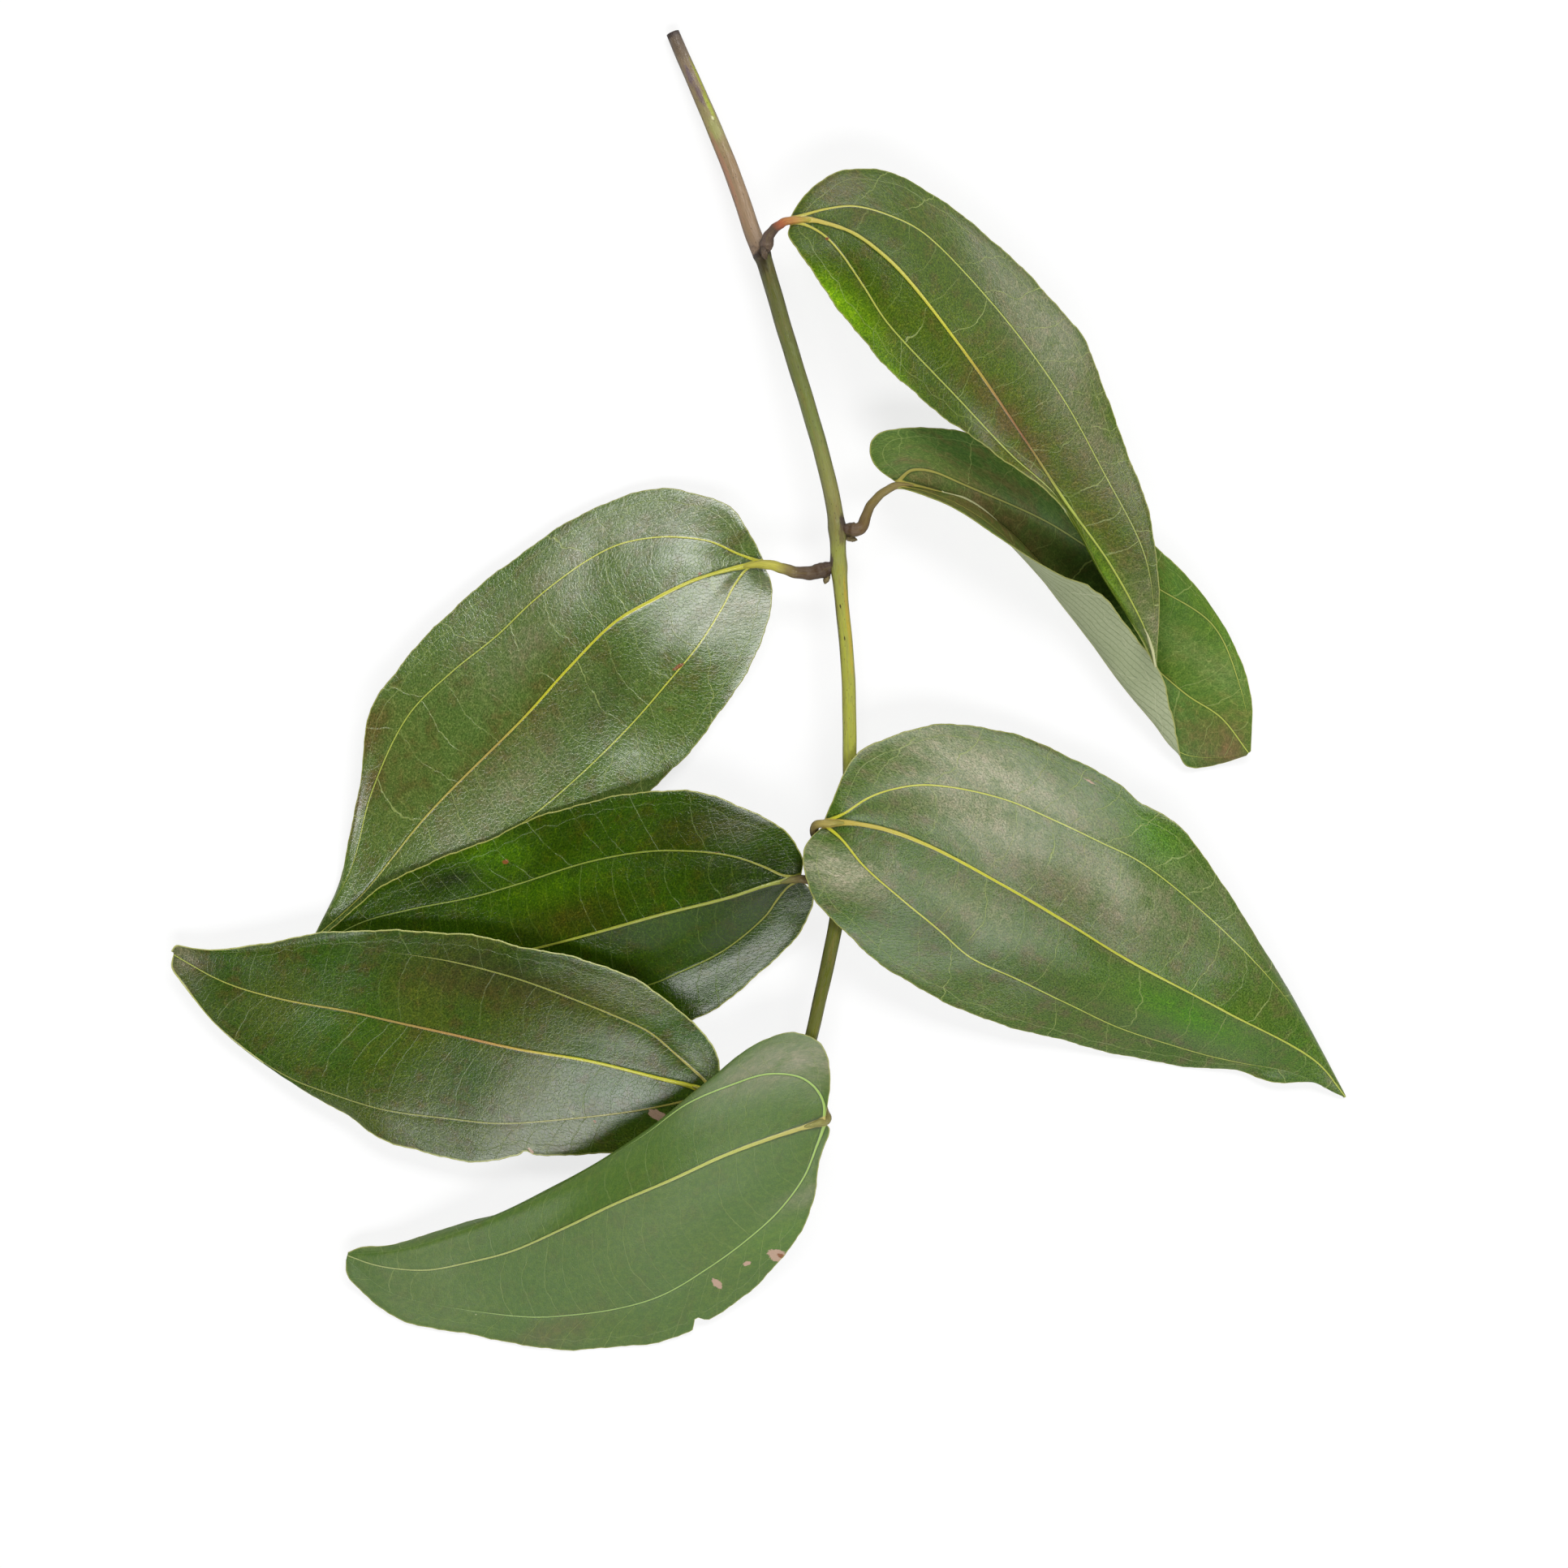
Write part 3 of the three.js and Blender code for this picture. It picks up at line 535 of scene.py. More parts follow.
def stretch_over(lines, across):
    """The blade's middle layer over its five lines, rounded between them, with a crease along the midrib."""
    ends = np.concatenate([2 * lines[:, :1] - lines[:, 1:2], lines, 2 * lines[:, -1:] - lines[:, -2:-1]], 1)
    strip = np.minimum((across * 4).astype(int), 3)
    row = np.arange(blade_rows)[:, None]
    before, start, end, after = (ends[row, strip + offset] for offset in range(4))
    step = (across * 4 - strip)[..., None]
    rounded = bridge(before, start, end, after, step)
    straight = start * (1 - step) + end * step
    near_rib = np.clip(1 - np.abs(across - 0.5) / 0.25, 0, 1)[..., None]
    return rounded + near_rib ** 2 * (3 - 2 * near_rib) * (straight - rounded)


def out_of(sheet):
    """Which way is straight up out of the blade at each place. Its ends are too narrow to tell, so the
    rows there take their neighbour's."""
    outward = unit(np.cross(np.gradient(sheet, axis=1), np.gradient(sheet, axis=0)))
    outward[:3] = outward[3]
    outward[-3:] = outward[-4]
    return outward


def off_vein(sheet, spread, column):
    """How far each place is from a vein, square to the vein, and less than 0 left of it."""
    vein = sheet[:, column]
    heading = unit(np.gradient(vein, axis=0))[:, None]
    gap = sheet - vein[:, None]
    sideways = gap - (gap * heading).sum(-1, keepdims=True) * heading
    return np.linalg.norm(sideways, axis=2) * np.sign(spread - spread[:, column:column + 1])


def count_rungs(number, spread, travelled, gap_mm):
    """A count that rises by one at each cross vein, with gap_mm from one to the next. The veins lean
    towards the tip away from the midrib, and arch a little."""
    quarter = spread.shape[1] // 4
    strip = np.minimum((strip_shares() * 4).astype(int), 3)
    width = np.diff(spread[:, ::quarter], axis=1)[:, strip]
    within = (spread - spread[:, quarter * strip]) / np.maximum(width, 0.1)
    from_rib = np.where(strip >= 2, within, 1 - within)
    outer = (strip == 0) | (strip == 3)
    lean = np.where(outer, 0.8, 0.12) * width * from_rib
    arch = np.where(outer, 0.6, 1.0) * 0.12 * width * np.sin(np.pi * from_rib)
    wander = np.stack([soft_noise(travelled, 0 * travelled, 38, 7 * number + s) for s in range(4)], 1)
    return (travelled[:, None] - lean - arch) / gap_mm + 0.3 * wander[:, strip] + 19.0 * strip


def lay_out_map(piece, corners):
    """A map that lays a piece's skin flat and fills the square, from one place for each face corner."""
    flat = corners.reshape(-1, 2) - corners.min(axis=(0, 1))
    layer = piece.data.uv_layers.new(name="OFBake")
    layer.data.foreach_set("uv", (flat / flat.max()).astype(np.float32).ravel())


def blade(number, left, left_vein, midrib, right_vein, right, look, patches=(), bites=()):
    """Leaf number's blade. patches are (kind, along, across, length, width, strength) in shares and
    millimetres, and bites are (side, along, width, depth) for nicks in an edge."""
    # The rows stand closer together near the base and the tip.
    steps = np.linspace(0, 1, blade_rows)
    shares = steps - 0.3 * np.sin(2 * np.pi * steps) / (2 * np.pi)
    guides = (left, left_vein, midrib, right_vein, right)
    lines = np.stack([line_through(guide, shares) for guide in guides], 1)
    travelled = travel(lines[:, 2])
    sheet = stretch_over(lines, worn_shares(number, lines, shares, travelled, bites))
    spread = np.array([travel(row) for row in sheet])
    columns = spread.shape[1]
    quarter = columns // 4
    side_mm = spread - spread[:, 2 * quarter, None]
    along_mm = np.broadcast_to(travelled[:, None], side_mm.shape)
    edge_mm = np.minimum(spread, spread[:, -1:] - spread)

    # Raised veins: proud on both faces, with the blade sunk beside them on top. A side vein thins out
    # before its end.
    widths = [np.interp(shares, *zip(*rib_widths))]
    for end in look["vein_ends"]:
        fade = np.clip((end - shares) / 0.12, 0, 1)
        widths.append(np.maximum(np.interp(shares, *zip(*vein_widths)) * fade, 0.01))
    to_veins = [off_vein(sheet, spread, column) / width[:, None]
                for column, width in zip((2 * quarter, quarter, 3 * quarter), widths)]
    ridge = sum(size * np.exp(-to_vein ** 2) for size, to_vein in zip(vein_sizes, to_veins))
    ridge = ridge * np.interp(shares, [0, 0.1, 1], [1, 0.85, 0.3])[:, None]
    groove = sum(size * np.exp(-(to_vein / 3.2) ** 2) for size, to_vein in zip(vein_sizes, to_veins))

    # The blade rolls gently, but not at its base and tip, and it is thinner at its edges.
    rolling = soft_noise(along_mm, side_mm, 30, number) + 0.1 * soft_noise(along_mm, side_mm, 9, number + 50)
    calm = np.clip(travelled / 12, 0, 1) * np.clip((travelled[-1] - travelled) / 8, 0, 1)
    sheet = sheet + out_of(sheet) * (blade_waviness * rolling * calm[:, None])[..., None]
    outward = out_of(sheet)
    half = (blade_thickness / 2) * (0.45 + 0.55 * np.clip(edge_mm / 1.2, 0, 1))
    upper = sheet + outward * (half + rise_above * ridge - dip * groove)[..., None]
    lower = sheet - outward * (half + rise_below * ridge)[..., None]

    # The skin is the top, the underside and a rim that joins them. Nothing of it sinks into the table.
    grid = np.arange(blade_rows * columns).reshape(blade_rows, columns)
    edge = np.concatenate([grid[0], grid[1:, -1], grid[-1, -2::-1], grid[-2:0:-1, 0]])
    inner = np.concatenate([grid[1], grid[1:, -2], grid[-2, -2::-1], grid[-2:0:-1, 1]])
    points = sheet.reshape(-1, 3)
    rim = points[edge] + rim_bulge * unit(points[edge] - points[inner])
    places = np.concatenate([upper.reshape(-1, 3), lower.reshape(-1, 3), rim])
    places[:, 2] = np.maximum(places[:, 2], table_clearance)
    quads = np.stack([grid[:-1, :-1], grid[:-1, 1:], grid[1:, 1:], grid[1:, :-1]], -1).reshape(-1, 4)
    next_edge = np.roll(edge, -1)
    on_rim = 2 * grid.size + np.arange(len(edge))
    next_on_rim = np.roll(on_rim, -1)
    upper_rim = np.stack([next_edge, edge, on_rim, next_on_rim], -1)
    lower_rim = np.stack([next_on_rim, on_rim, grid.size + edge, grid.size + next_edge], -1)
    faces = np.concatenate([quads, quads[:, ::-1] + grid.size, upper_rim, lower_rim])

    def on_all(values):
        """Values over the sheet, repeated for the top, the underside and the rim."""
        flat = values.reshape(-1)
        return np.concatenate([flat, flat, flat[edge]])

    # What the finish reads at each point of the skin, three numbers under each name.
    # Patch kinds: grey is painted sheen and highlights with some bloom, lime is bright green that is partly
    # painted light through the blade, and dark is darker green that is partly painted shade.
    tints = {kind: np.zeros(side_mm.shape) for kind in ("lime_and_glow", "brown", "dark", "sheen_and_bloom", "scar", "rust")}
    for kind, along_share, across_mm, length, width, strength in patches:
        from_middle = (along_mm - along_share * travelled[-1]) / length
        reach = from_middle ** 2 + ((side_mm - across_mm) / width) ** 2
        tints[kind] = np.maximum(tints[kind], strength * np.exp(-reach))
    side = np.repeat([0.0, 1.0, 0.5], [grid.size, grid.size, len(edge)])
    rungs = on_all(count_rungs(number, spread, travelled, look["rungs"]))
    facts = {
        "leaf_cm": [on_all(side_mm) / 10, on_all(along_mm) / 10, side * 9 + number],
        "veins": [on_all(to_vein) for to_vein in to_veins],
        "place": [np.where(side == 0.5, 0, on_all(edge_mm)), side, on_all(np.repeat(shares, columns))],
        "rungs": [rungs] * 3,
        "tint_a": [on_all(tints[kind]) for kind in ("lime_and_glow", "brown", "dark")],
        "sheen_scar_rust": [on_all(tints[kind]) for kind in ("sheen_and_bloom", "scar", "rust")],
    }
    facts = {fact: np.stack(values, 1) for fact, values in facts.items()}
    name = f"leaf_{number}_blade"
    piece = make_piece(name, places, faces.tolist(), facts, blade_finish(number, look))

    # The flat map has the top and the underside next to each other, each with its own half of the rim.
    flat = np.stack([side_mm, along_mm], -1).reshape(-1, 2)
    flat_rim = flat[edge] + 0.4 * unit(flat[edge] - flat[inner])
    apart = (np.ptp(flat[:, 0]) + 4, 0)
    corners = np.concatenate([flat, flat + apart, flat_rim])[faces]
    corners[-len(edge):, :2] += apart
    lay_out_map(piece, corners)


def blade_finish(number, look):
    """One blade's finish: mottled green above with painted sheen, painted shade and painted light shining
    through in places, pale greyish green below, veins, rungs, net and a soft shine.
    """
    finish = Finish(f"leaf_{number}_green")
    here = finish.fact("leaf_cm")
    sideways, lengthwise, _ = finish.parts(here)
    to_rib, to_left, to_right = (finish.size(away) for away in finish.parts(finish.fact("veins")))
    edge, side, share = finish.parts(finish.fact("place"))
    rung = finish.parts(finish.fact("rungs"))[0]
    lime_and_glow, brown, dark = finish.parts(finish.fact("tint_a"))
    sheen_and_bloom, scar, rust = finish.parts(finish.fact("sheen_scar_rust"))

    # Green flesh, in two greens with brown and bright patches. The grey patches are painted sheen and
    # highlights, with some real bloom. The lime ones are the leaf's own bright green and, in places, painted
    # light shining through the blade. The dark ones are darker green and, in places, painted shade.
    broad = finish.noise(here, 0.55, 3.0, 0.6)
    mottle = finish.noise(here, 2.2, 4.0, 0.65)
    flesh = finish.blend(finish.rise(broad, 0.3, 0.7), look["green"], look["green_2"])
    flesh = finish.blend(finish.rise(mottle, 0.46, 0.72, look["mottle"]), flesh, look["brown"])
    for amount, tint in ((lime_and_glow, "lime_and_glow"), (brown, "brown"), (dark, "dark"), (sheen_and_bloom, "sheen_and_bloom")):
        uneven = finish.times(amount, finish.rise(mottle, 0.15, 0.6))
        flesh = finish.blend(uneven, flesh, look[tint])
    fine = finish.noise(here, 24.0, 3.0, 0.75)
    flesh = finish.tone(finish.rise(fine, 0.5, 0.64, look["grain"]), flesh, (1.6, 1.45, 1.7))
    flesh = finish.tone(finish.rise(fine, 0.5, 0.38, look["grain"]), flesh, (0.6, 0.64, 0.6))
    clouds = finish.rise(finish.noise(here, 7.0, 2.0), 0.4, 0.65)
    flesh = finish.tone(clouds, flesh, (1.3, 1.15, 1.3))

    # The net: small cells inside larger ones, with pale walls.
    wandering = finish.shift(here, 7.0, 0.1)
    small_net = finish.rise(finish.cells(wandering, 10.5, "DISTANCE_TO_EDGE")["Distance"], 0.13, 0.0)
    large_net = finish.rise(finish.cells(wandering, 3.4, "DISTANCE_TO_EDGE")["Distance"], 0.05, 0.0)
    flesh = finish.tone(finish.times(small_net, look["net"]), flesh, (1.7, 1.5, 1.8))
    flesh = finish.tone(finish.times(large_net, look["net"]), flesh, (2.0, 1.8, 2.2))

    # Rungs: each has a strength of its own, and fades in and out.
    wave = finish.scaled(finish.noise(here, 1.1, 1.0), 0.4, rung)
    wave = finish.scaled(finish.noise(here, 3.2, 2.0), 0.24, wave)
    nearest = finish.maths("ROUND", wave)
    off_rung = finish.size(finish.maths("SUBTRACT", wave, nearest))
    own = finish.add("TexWhiteNoise", {"W": nearest}, noise_dimensions="1D").outputs["Value"]
    fading = finish.rise(finish.noise(here, 1.6, 2.0), 0.3, 0.55)
    fading = finish.times(fading, finish.rise(share, 0.05, 0.2))
    strength = finish.times(finish.rise(own, 0.0, 1.0), fading)
    rung_line = finish.rise(finish.times(off_rung, look["rungs"]), 0.16, 0.06)
    rung_line = finish.times(rung_line, finish.scaled(strength, 0.8, 0.2))

    # A thin vein loops along inside the edge.
    loop_at = finish.scaled(off_rung, -1.0, 2.6)
    loop_at = finish.scaled(finish.noise(here, 1.6, 2.0), 1.4, loop_at)
    off_loop = finish.size(finish.maths("SUBTRACT", edge, loop_at))
    loop_line = finish.times(finish.rise(off_loop, 0.14, 0.05), finish.rise(share, 0.93, 0.8, 0.5))
    thin_veins = finish.maths("MAXIMUM", rung_line, loop_line)
    flesh = finish.blend(finish.times(thin_veins, look["thin"]), flesh, look["thin_vein"])

    # The three main veins, with a painted shadow line in the dark colour on both sides.
    width = finish.scaled(finish.noise(here, 4.0, 2.0), 0.5, 0.75)
    from_rib = finish.maths("DIVIDE", to_rib, width)
    from_side = finish.maths("DIVIDE", finish.maths("MINIMUM", to_left, to_right), width)
    closest = finish.maths("MINIMUM", from_rib, from_side)
    shade = finish.rise(closest, 2.6, 1.2, look["painted_vein_shadow"])
    flesh = finish.blend(shade, flesh, look["dark"])
    rib_line = finish.rise(from_rib, 1.25, 0.75)
    side_line = finish.rise(from_side, 1.25, 0.7)
    flesh = finish.blend(side_line, flesh, finish.ramp(share, look["side_veins"]))
    flesh = finish.blend(rib_line, flesh, finish.ramp(share, look["midrib"]))

    # Marks: tiny pale dots, pinkish scars and rusty specks.
    dots = finish.cells(here, 1.5)
    dot_size = finish.times(finish.parts(dots["Color"])[0], 0.028)
    dot = finish.maths("LESS_THAN", dots["Distance"], dot_size)
    flesh = finish.blend(finish.times(dot, 0.55), flesh, (186, 190, 140))
    crisp = finish.times(finish.noise(here, 9.0, 3.0, 0.7), 0.7)
    scarred = finish.rise(finish.maths("ADD", scar, crisp), 0.78, 0.92)
    rusted = finish.rise(finish.maths("ADD", rust, crisp), 0.78, 0.95)
    flesh = finish.blend(scarred, flesh, (188, 156, 132))
    flesh = finish.blend(rusted, flesh, (136, 84, 40))

    # The underside: paler and greyer, with fine slanted lines and the same veins.
    below = finish.blend(finish.rise(broad, 0.3, 0.7), (168, 178, 140), (178, 186, 150))
    slant = finish.scaled(finish.size(sideways), -7.0, finish.times(lengthwise, 2.0))
    slant = finish.scaled(finish.noise(here, 2.5, 3.0), 1.2, slant)
    lines = finish.rise(finish.maths("PINGPONG", slant, 0.5), 0.13, 0.0, 0.7)
    below = finish.blend(lines, below, (112, 128, 92))
    below = finish.blend(finish.times(small_net, 0.3), below, (140, 150, 112))
    below = finish.blend(finish.times(thin_veins, 0.6), below, (202, 206, 170))
    below = finish.blend(finish.maths("MAXIMUM", side_line, rib_line), below, (200, 200, 150))
    flesh = finish.blend(finish.rise(side, 0.45, 0.55), flesh, below)

    # The edge: a thin pale rim.
    rim = finish.rise(edge, look["rim_width"], 0.02)
    flesh = finish.blend(finish.times(rim, 0.85), flesh, look["rim"])

    shine = finish.scaled(finish.noise(here, 1.3, 3.0), 0.16, look["roughness"] - 0.2)
    shine = finish.scaled(side, 0.2, finish.scaled(fine, 0.24, shine))
    crinkle = finish.times(finish.noise(here, 5.5, 3.0, 0.5), look["crinkle"])
    height = finish.scaled(small_net, -0.09, crinkle)
    height = finish.scaled(fine, 0.12, finish.scaled(thin_veins, -0.3, height))
    return finish.dress(flesh, shine, height, 0.14, look["gloss"])


# The look that the blades start from: its colours, how strong each mark is, the millimetres between
# rungs, and the shares of the length at which the two side veins end. Each leaf changes some of it.
vein_yellow, vein_pale, vein_red = (204, 202, 56), (180, 192, 84), (144, 100, 64)
common_look = {
    "green": (76, 98, 20), "green_2": (66, 92, 16), "brown": (86, 76, 32), "dark": (34, 50, 8),
    "lime_and_glow": (92, 142, 0), "sheen_and_bloom": (128, 132, 98), "mottle": 0.5, "net": 0.35, "grain": 1.0,
    "thin": 0.9, "thin_vein": (168, 182, 104), "rungs": 8.5, "painted_vein_shadow": 0.6, "vein_ends": (0.95, 0.95),
    "rim": (176, 178, 96), "rim_width": 0.35, "roughness": 0.28, "crinkle": 0.4, "gloss": 0.8,
    "side_veins": [(0, vein_yellow), (0.5, vein_pale), (1, vein_pale)],
    "midrib": [(0, vein_yellow), (0.5, vein_yellow), (1, vein_pale)],
}

# Leaf 1, nearest the cut end, arches over leaf 2. Its right edge droops, and the bright green there is
# painted light shining through the blade.
# Its midrib reddens towards the tip, where the whole blade browns, and the grey patches on its left half and
# by its tip are painted sheen.
blade(
    1,
    left=[
        (6.9, 107, 15), (8.5, 110, 14.5), (10.5, 112.5, 14.2), (13.5, 115.5, 13.6), (18, 118, 12.9),
        (23.5, 118.5, 12.5), (32, 117, 12.2), (51, 104, 12.4), (73, 81, 12.9), (76.5, 73.5, 13.3),
        (81.5, 59.5, 13.7), (88.5, 39.5, 15.7), (90.5, 20.5, 17.7), (89.9, 5.6, 16),
    ],
    left_vein=[
        (7.1, 106.8, 15.3), (15.5, 109, 16.2), (21.5, 109.5, 16.6), (30, 107, 17.3), (37.5, 103, 17.3),
        (53, 87, 17.3), (68, 67, 16.9), (77.5, 50, 16.3), (87, 31, 17.1), (89.5, 16.5, 17.5),
        (89.8, 5.6, 16.2),
    ],
    midrib=[
        (7.1, 106.5, 15.5), (11.5, 106.5, 16.2), (15.5, 105.5, 17.5), (21.5, 103, 19.9),
        (29, 97, 22.8), (34.5, 91, 24.2), (46.5, 75.5, 23.8), (60, 56.5, 20), (69, 43, 18.2),
        (80, 27.5, 17.3), (88, 12, 17.2), (89.7, 5.3, 16.5),
    ],
    right_vein=[
        (7.1, 106.2, 15.4), (10, 105.5, 16.1), (13, 104, 17.3), (15.5, 102, 18.8), (18.5, 98.5, 20.1),
        (23.5, 91, 22.1), (29, 82.5, 23.3), (46, 64.5, 22), (56.5, 53.5, 19.8), (68.5, 42.5, 17.2),
        (78, 26, 15.6), (87, 12, 15.3), (89.7, 5.3, 16.2),
    ],
    right=[
        (7.1, 106, 15.1), (6.5, 103, 16.4), (9, 99, 18.4), (14.5, 90.5, 19.8), (22, 80.5, 20.9),
        (31, 70.5, 20.2), (40.5, 62.5, 19.6), (55, 52, 19.9), (67.5, 42.5, 17.4), (76.5, 28.5, 12.8),
        (86, 12.5, 15), (89.6, 5.3, 16),
    ],
    look={
        **common_look, "green": (70, 96, 6), "green_2": (62, 88, 4), "lime_and_glow": (112, 162, 8),
        "roughness": 0.34, "gloss": 0.55, "thin": 0.65,
        "side_veins": [(0, (206, 196, 84)), (0.3, vein_pale), (1, (160, 168, 92))],
        "midrib": [
            (0, (216, 190, 98)), (0.12, (206, 198, 92)), (0.35, vein_yellow),
            (0.48, (168, 130, 72)), (0.56, vein_red), (0.68, vein_pale), (1, vein_pale),
        ],
    },
    patches=[
        ("lime_and_glow", 0.16, 15, 17, 4, 1.0), ("lime_and_glow", 0.33, 18, 13, 3, 1.0), ("lime_and_glow", 0.82, 4, 20, 4, 0.8),
        ("brown", 0.55, 1, 17, 5, 1.0), ("brown", 0.7, -8, 22, 10, 0.5), ("brown", 0.06, -12, 9, 6, 0.6),
        ("sheen_and_bloom", 0.93, -3, 12, 5, 0.5), ("sheen_and_bloom", 0.46, -21, 20, 8, 0.6), ("sheen_and_bloom", 0.6, -14, 16, 6, 0.4),
        ("rust", 0.075, 3.6, 0.5, 0.5, 1.0),
    ],
)

# Leaf 2 lies on the table as a trough, with its right side rolled up and over, so that its pale underside
# shows. Deep inside it is a strong green, painted darker as shade under leaf 1's edge, and it is dull there.
# Its bright green patch is partly painted light shining through the blade, and its grey patch is painted
# sheen.
blade(
    2,
    left=[
        (31, 47.3, 13), (28.5, 49, 12.5), (26, 51.5, 12), (25, 55, 11.7), (26.5, 58, 11.4),
        (30, 59.5, 11.1), (37.5, 60, 10.4), (46, 59, 9.5), (71, 49.5, 7.5), (90.5, 33, 8),
        (99, 24.5, 8), (108, 11.5, 6), (112.5, -1.5, 4), (112.5, -13.6, 2.5),
    ],
    left_vein=[
        (31.2, 47, 13.2), (32.5, 48.5, 12.9), (34.5, 50, 12.5), (38.5, 50, 11.6), (46.5, 47, 9.5),
        (65, 39, 7), (76.5, 32, 5.5), (91, 23.5, 6.5), (103.5, 15, 7), (110, 0.5, 4.6), (112, -9, 3.2),
        (112.3, -13.8, 2.6),
    ],
    midrib=[
        (31.4, 46.8, 13.4), (35, 46.5, 12), (39.5, 45.5, 10.6), (47, 43.5, 8.4), (56.5, 37, 4.6),
        (73.5, 20, 0.5), (91, 5, 2), (98, -1, 3.8), (105.5, -6, 4.2), (111.9, -14, 2.8),
    ],
    right_vein=[
        (31.4, 46.5, 13.6), (37.5, 45, 14), (45, 42, 13), (54.5, 36, 11), (63.5, 27, 8.5),
        (69, 20, 7.5), (76, 11, 7), (82.5, 2, 6.3), (90, -7, 4.8), (95.5, -13.5, 3.2), (101, -15, 2.6),
        (111.7, -14.3, 2.6),
    ],
    right=[
        (31.2, 46.2, 14), (37.5, 44, 16.5), (45, 40.5, 17.5), (56, 33.5, 17.5), (65.5, 27.5, 17.2),
        (69.5, 25.5, 17), (76, 23, 17), (83, 15, 15), (90.5, 5.5, 11.6), (94.5, -6, 7), (97.5, -17, 2),
        (102, -17.5, 0.8), (111.4, -14.7, 1.6),
    ],
    look={
        **common_look, "green": (78, 106, 36), "green_2": (72, 108, 44),
        "brown": (102, 92, 48), "mottle": 0.6, "roughness": 0.5, "gloss": 0.22, "crinkle": 0.6,
        "thin": 0.65, "grain": 0.6,
        "side_veins": [(0, (160, 150, 70)), (0.4, (150, 160, 80)), (1, vein_pale)],
        "midrib": [(0, (180, 170, 80)), (0.5, (160, 160, 80)), (1, vein_pale)],
    },
    patches=[
        ("brown", 0.96, 5, 9, 7, 1.0), ("brown", 0.22, 2, 26, 9, 0.8), ("sheen_and_bloom", 0.78, -9, 15, 5, 0.25),
        ("lime_and_glow", 0.75, -12, 26, 14, 0.5), ("rust", 0.448, 20.2, 1.6, 0.7, 1.0), ("dark", 0.5, -8, 16, 9, 0.6),
    ],
    bites=[("right", 0.448, 2.5, 0.5)],
)

# Leaf 3, opposite leaf 2, is the lowest of the pile on the left. It is the glossiest, over its base, and its
# grey patches are painted highlights and sheen.
blade(
    3,
    left=[
        (1.2, 28.2, 11.8), (2.5, 25.5, 10.6), (3, 22, 8.3), (0, 10, 4.1), (-7, -2, 2.4),
        (-17.5, -15.5, 3.1), (-36.5, -33, 5.8), (-53, -44, 4.9), (-77.5, -53, 1.6), (-102, -56.8, 0.5),
    ],
    left_vein=[
        (1, 28.5, 12), (-2.5, 28, 10.8), (-5.5, 24.5, 8.9), (-8.5, 19, 7.3), (-14, 10.5, 5.4),
        (-21, 2, 6), (-32, -10.5, 8.2), (-50, -27, 7.1), (-69.5, -40.5, 5), (-88.5, -51.5, 1.7),
        (-102, -56.6, 0.9),
    ],
    midrib=[
        (1, 28.8, 12.1), (-2.5, 28.5, 11.3), (-14, 25.5, 10.5), (-24.5, 20.5, 10.5), (-33, 15.5, 10.7),
        (-43.5, 5, 11.1), (-53, -5.5, 9.8), (-75.5, -28, 7.1), (-91.5, -47, 1.8), (-102, -56.4, 1),
    ],
    right_vein=[
        (1, 29, 12), (-4.5, 31, 9.7), (-11, 34, 7.5), (-17.5, 35, 6.8), (-24, 35, 6.2),
        (-32, 33.5, 5.9), (-39, 30, 5.9), (-51, 21, 6.8), (-60, 12.5, 7.2), (-70.5, 4, 7.6),
        (-80, -5.5, 7.3), (-88.5, -23, 6), (-93.5, -40.5, 2.8), (-102, -56.2, 0.9),
    ],
    right=[
        (1, 29.5, 11.8), (-1, 34, 9.9), (-3.5, 38, 7.7), (-6.5, 42, 6.2), (-12, 44.5, 4.9),
        (-21, 46.5, 3.4), (-32, 44.5, 2.6), (-46, 37.5, 2.9), (-60.5, 27, 3.8), (-71, 18, 4.7),
        (-81.5, 6.5, 6.1), (-88, -2.5, 7.3), (-90, -10, 7.5), (-91, -20, 7), (-94.5, -36, 3.5),
        (-96.5, -44.5, 1.5), (-102.2, -56.2, 0.8),
    ],
    look={
        **common_look, "green": (84, 110, 44), "green_2": (74, 104, 38), "roughness": 0.22,
        "mottle": 0.5, "gloss": 1.0, "thin": 0.75, "vein_ends": (0.76, 0.95),
        "midrib": [(0, vein_yellow), (0.45, vein_yellow), (0.55, (186, 164, 84)), (1, vein_pale)],
    },
    patches=[
        ("brown", 0.72, 23, 9, 4, 0.9), ("brown", 0.85, 15, 20, 4, 1.0), ("brown", 0.5, -2, 26, 6, 0.4),
        ("brown", 0.72, 10, 12, 7, 0.3), ("dark", 0.36, -11, 16, 6, 0.45), ("sheen_and_bloom", 0.4, 12, 18, 6, 0.4),
        ("sheen_and_bloom", 0.09, -11, 12, 7, 0.6), ("sheen_and_bloom", 0.14, 17, 20, 7, 0.4), ("sheen_and_bloom", 0.35, 20, 22, 6, 0.4),
        ("sheen_and_bloom", 0.62, -10, 26, 6, 0.4), ("rust", 0.234, -17, 2.0, 0.6, 0.9),
        ("rust", 0.431, 12.4, 0.7, 1.6, 0.5), ("rust", 0.109, 1.1, 0.5, 0.5, 1.0),
    ],
)
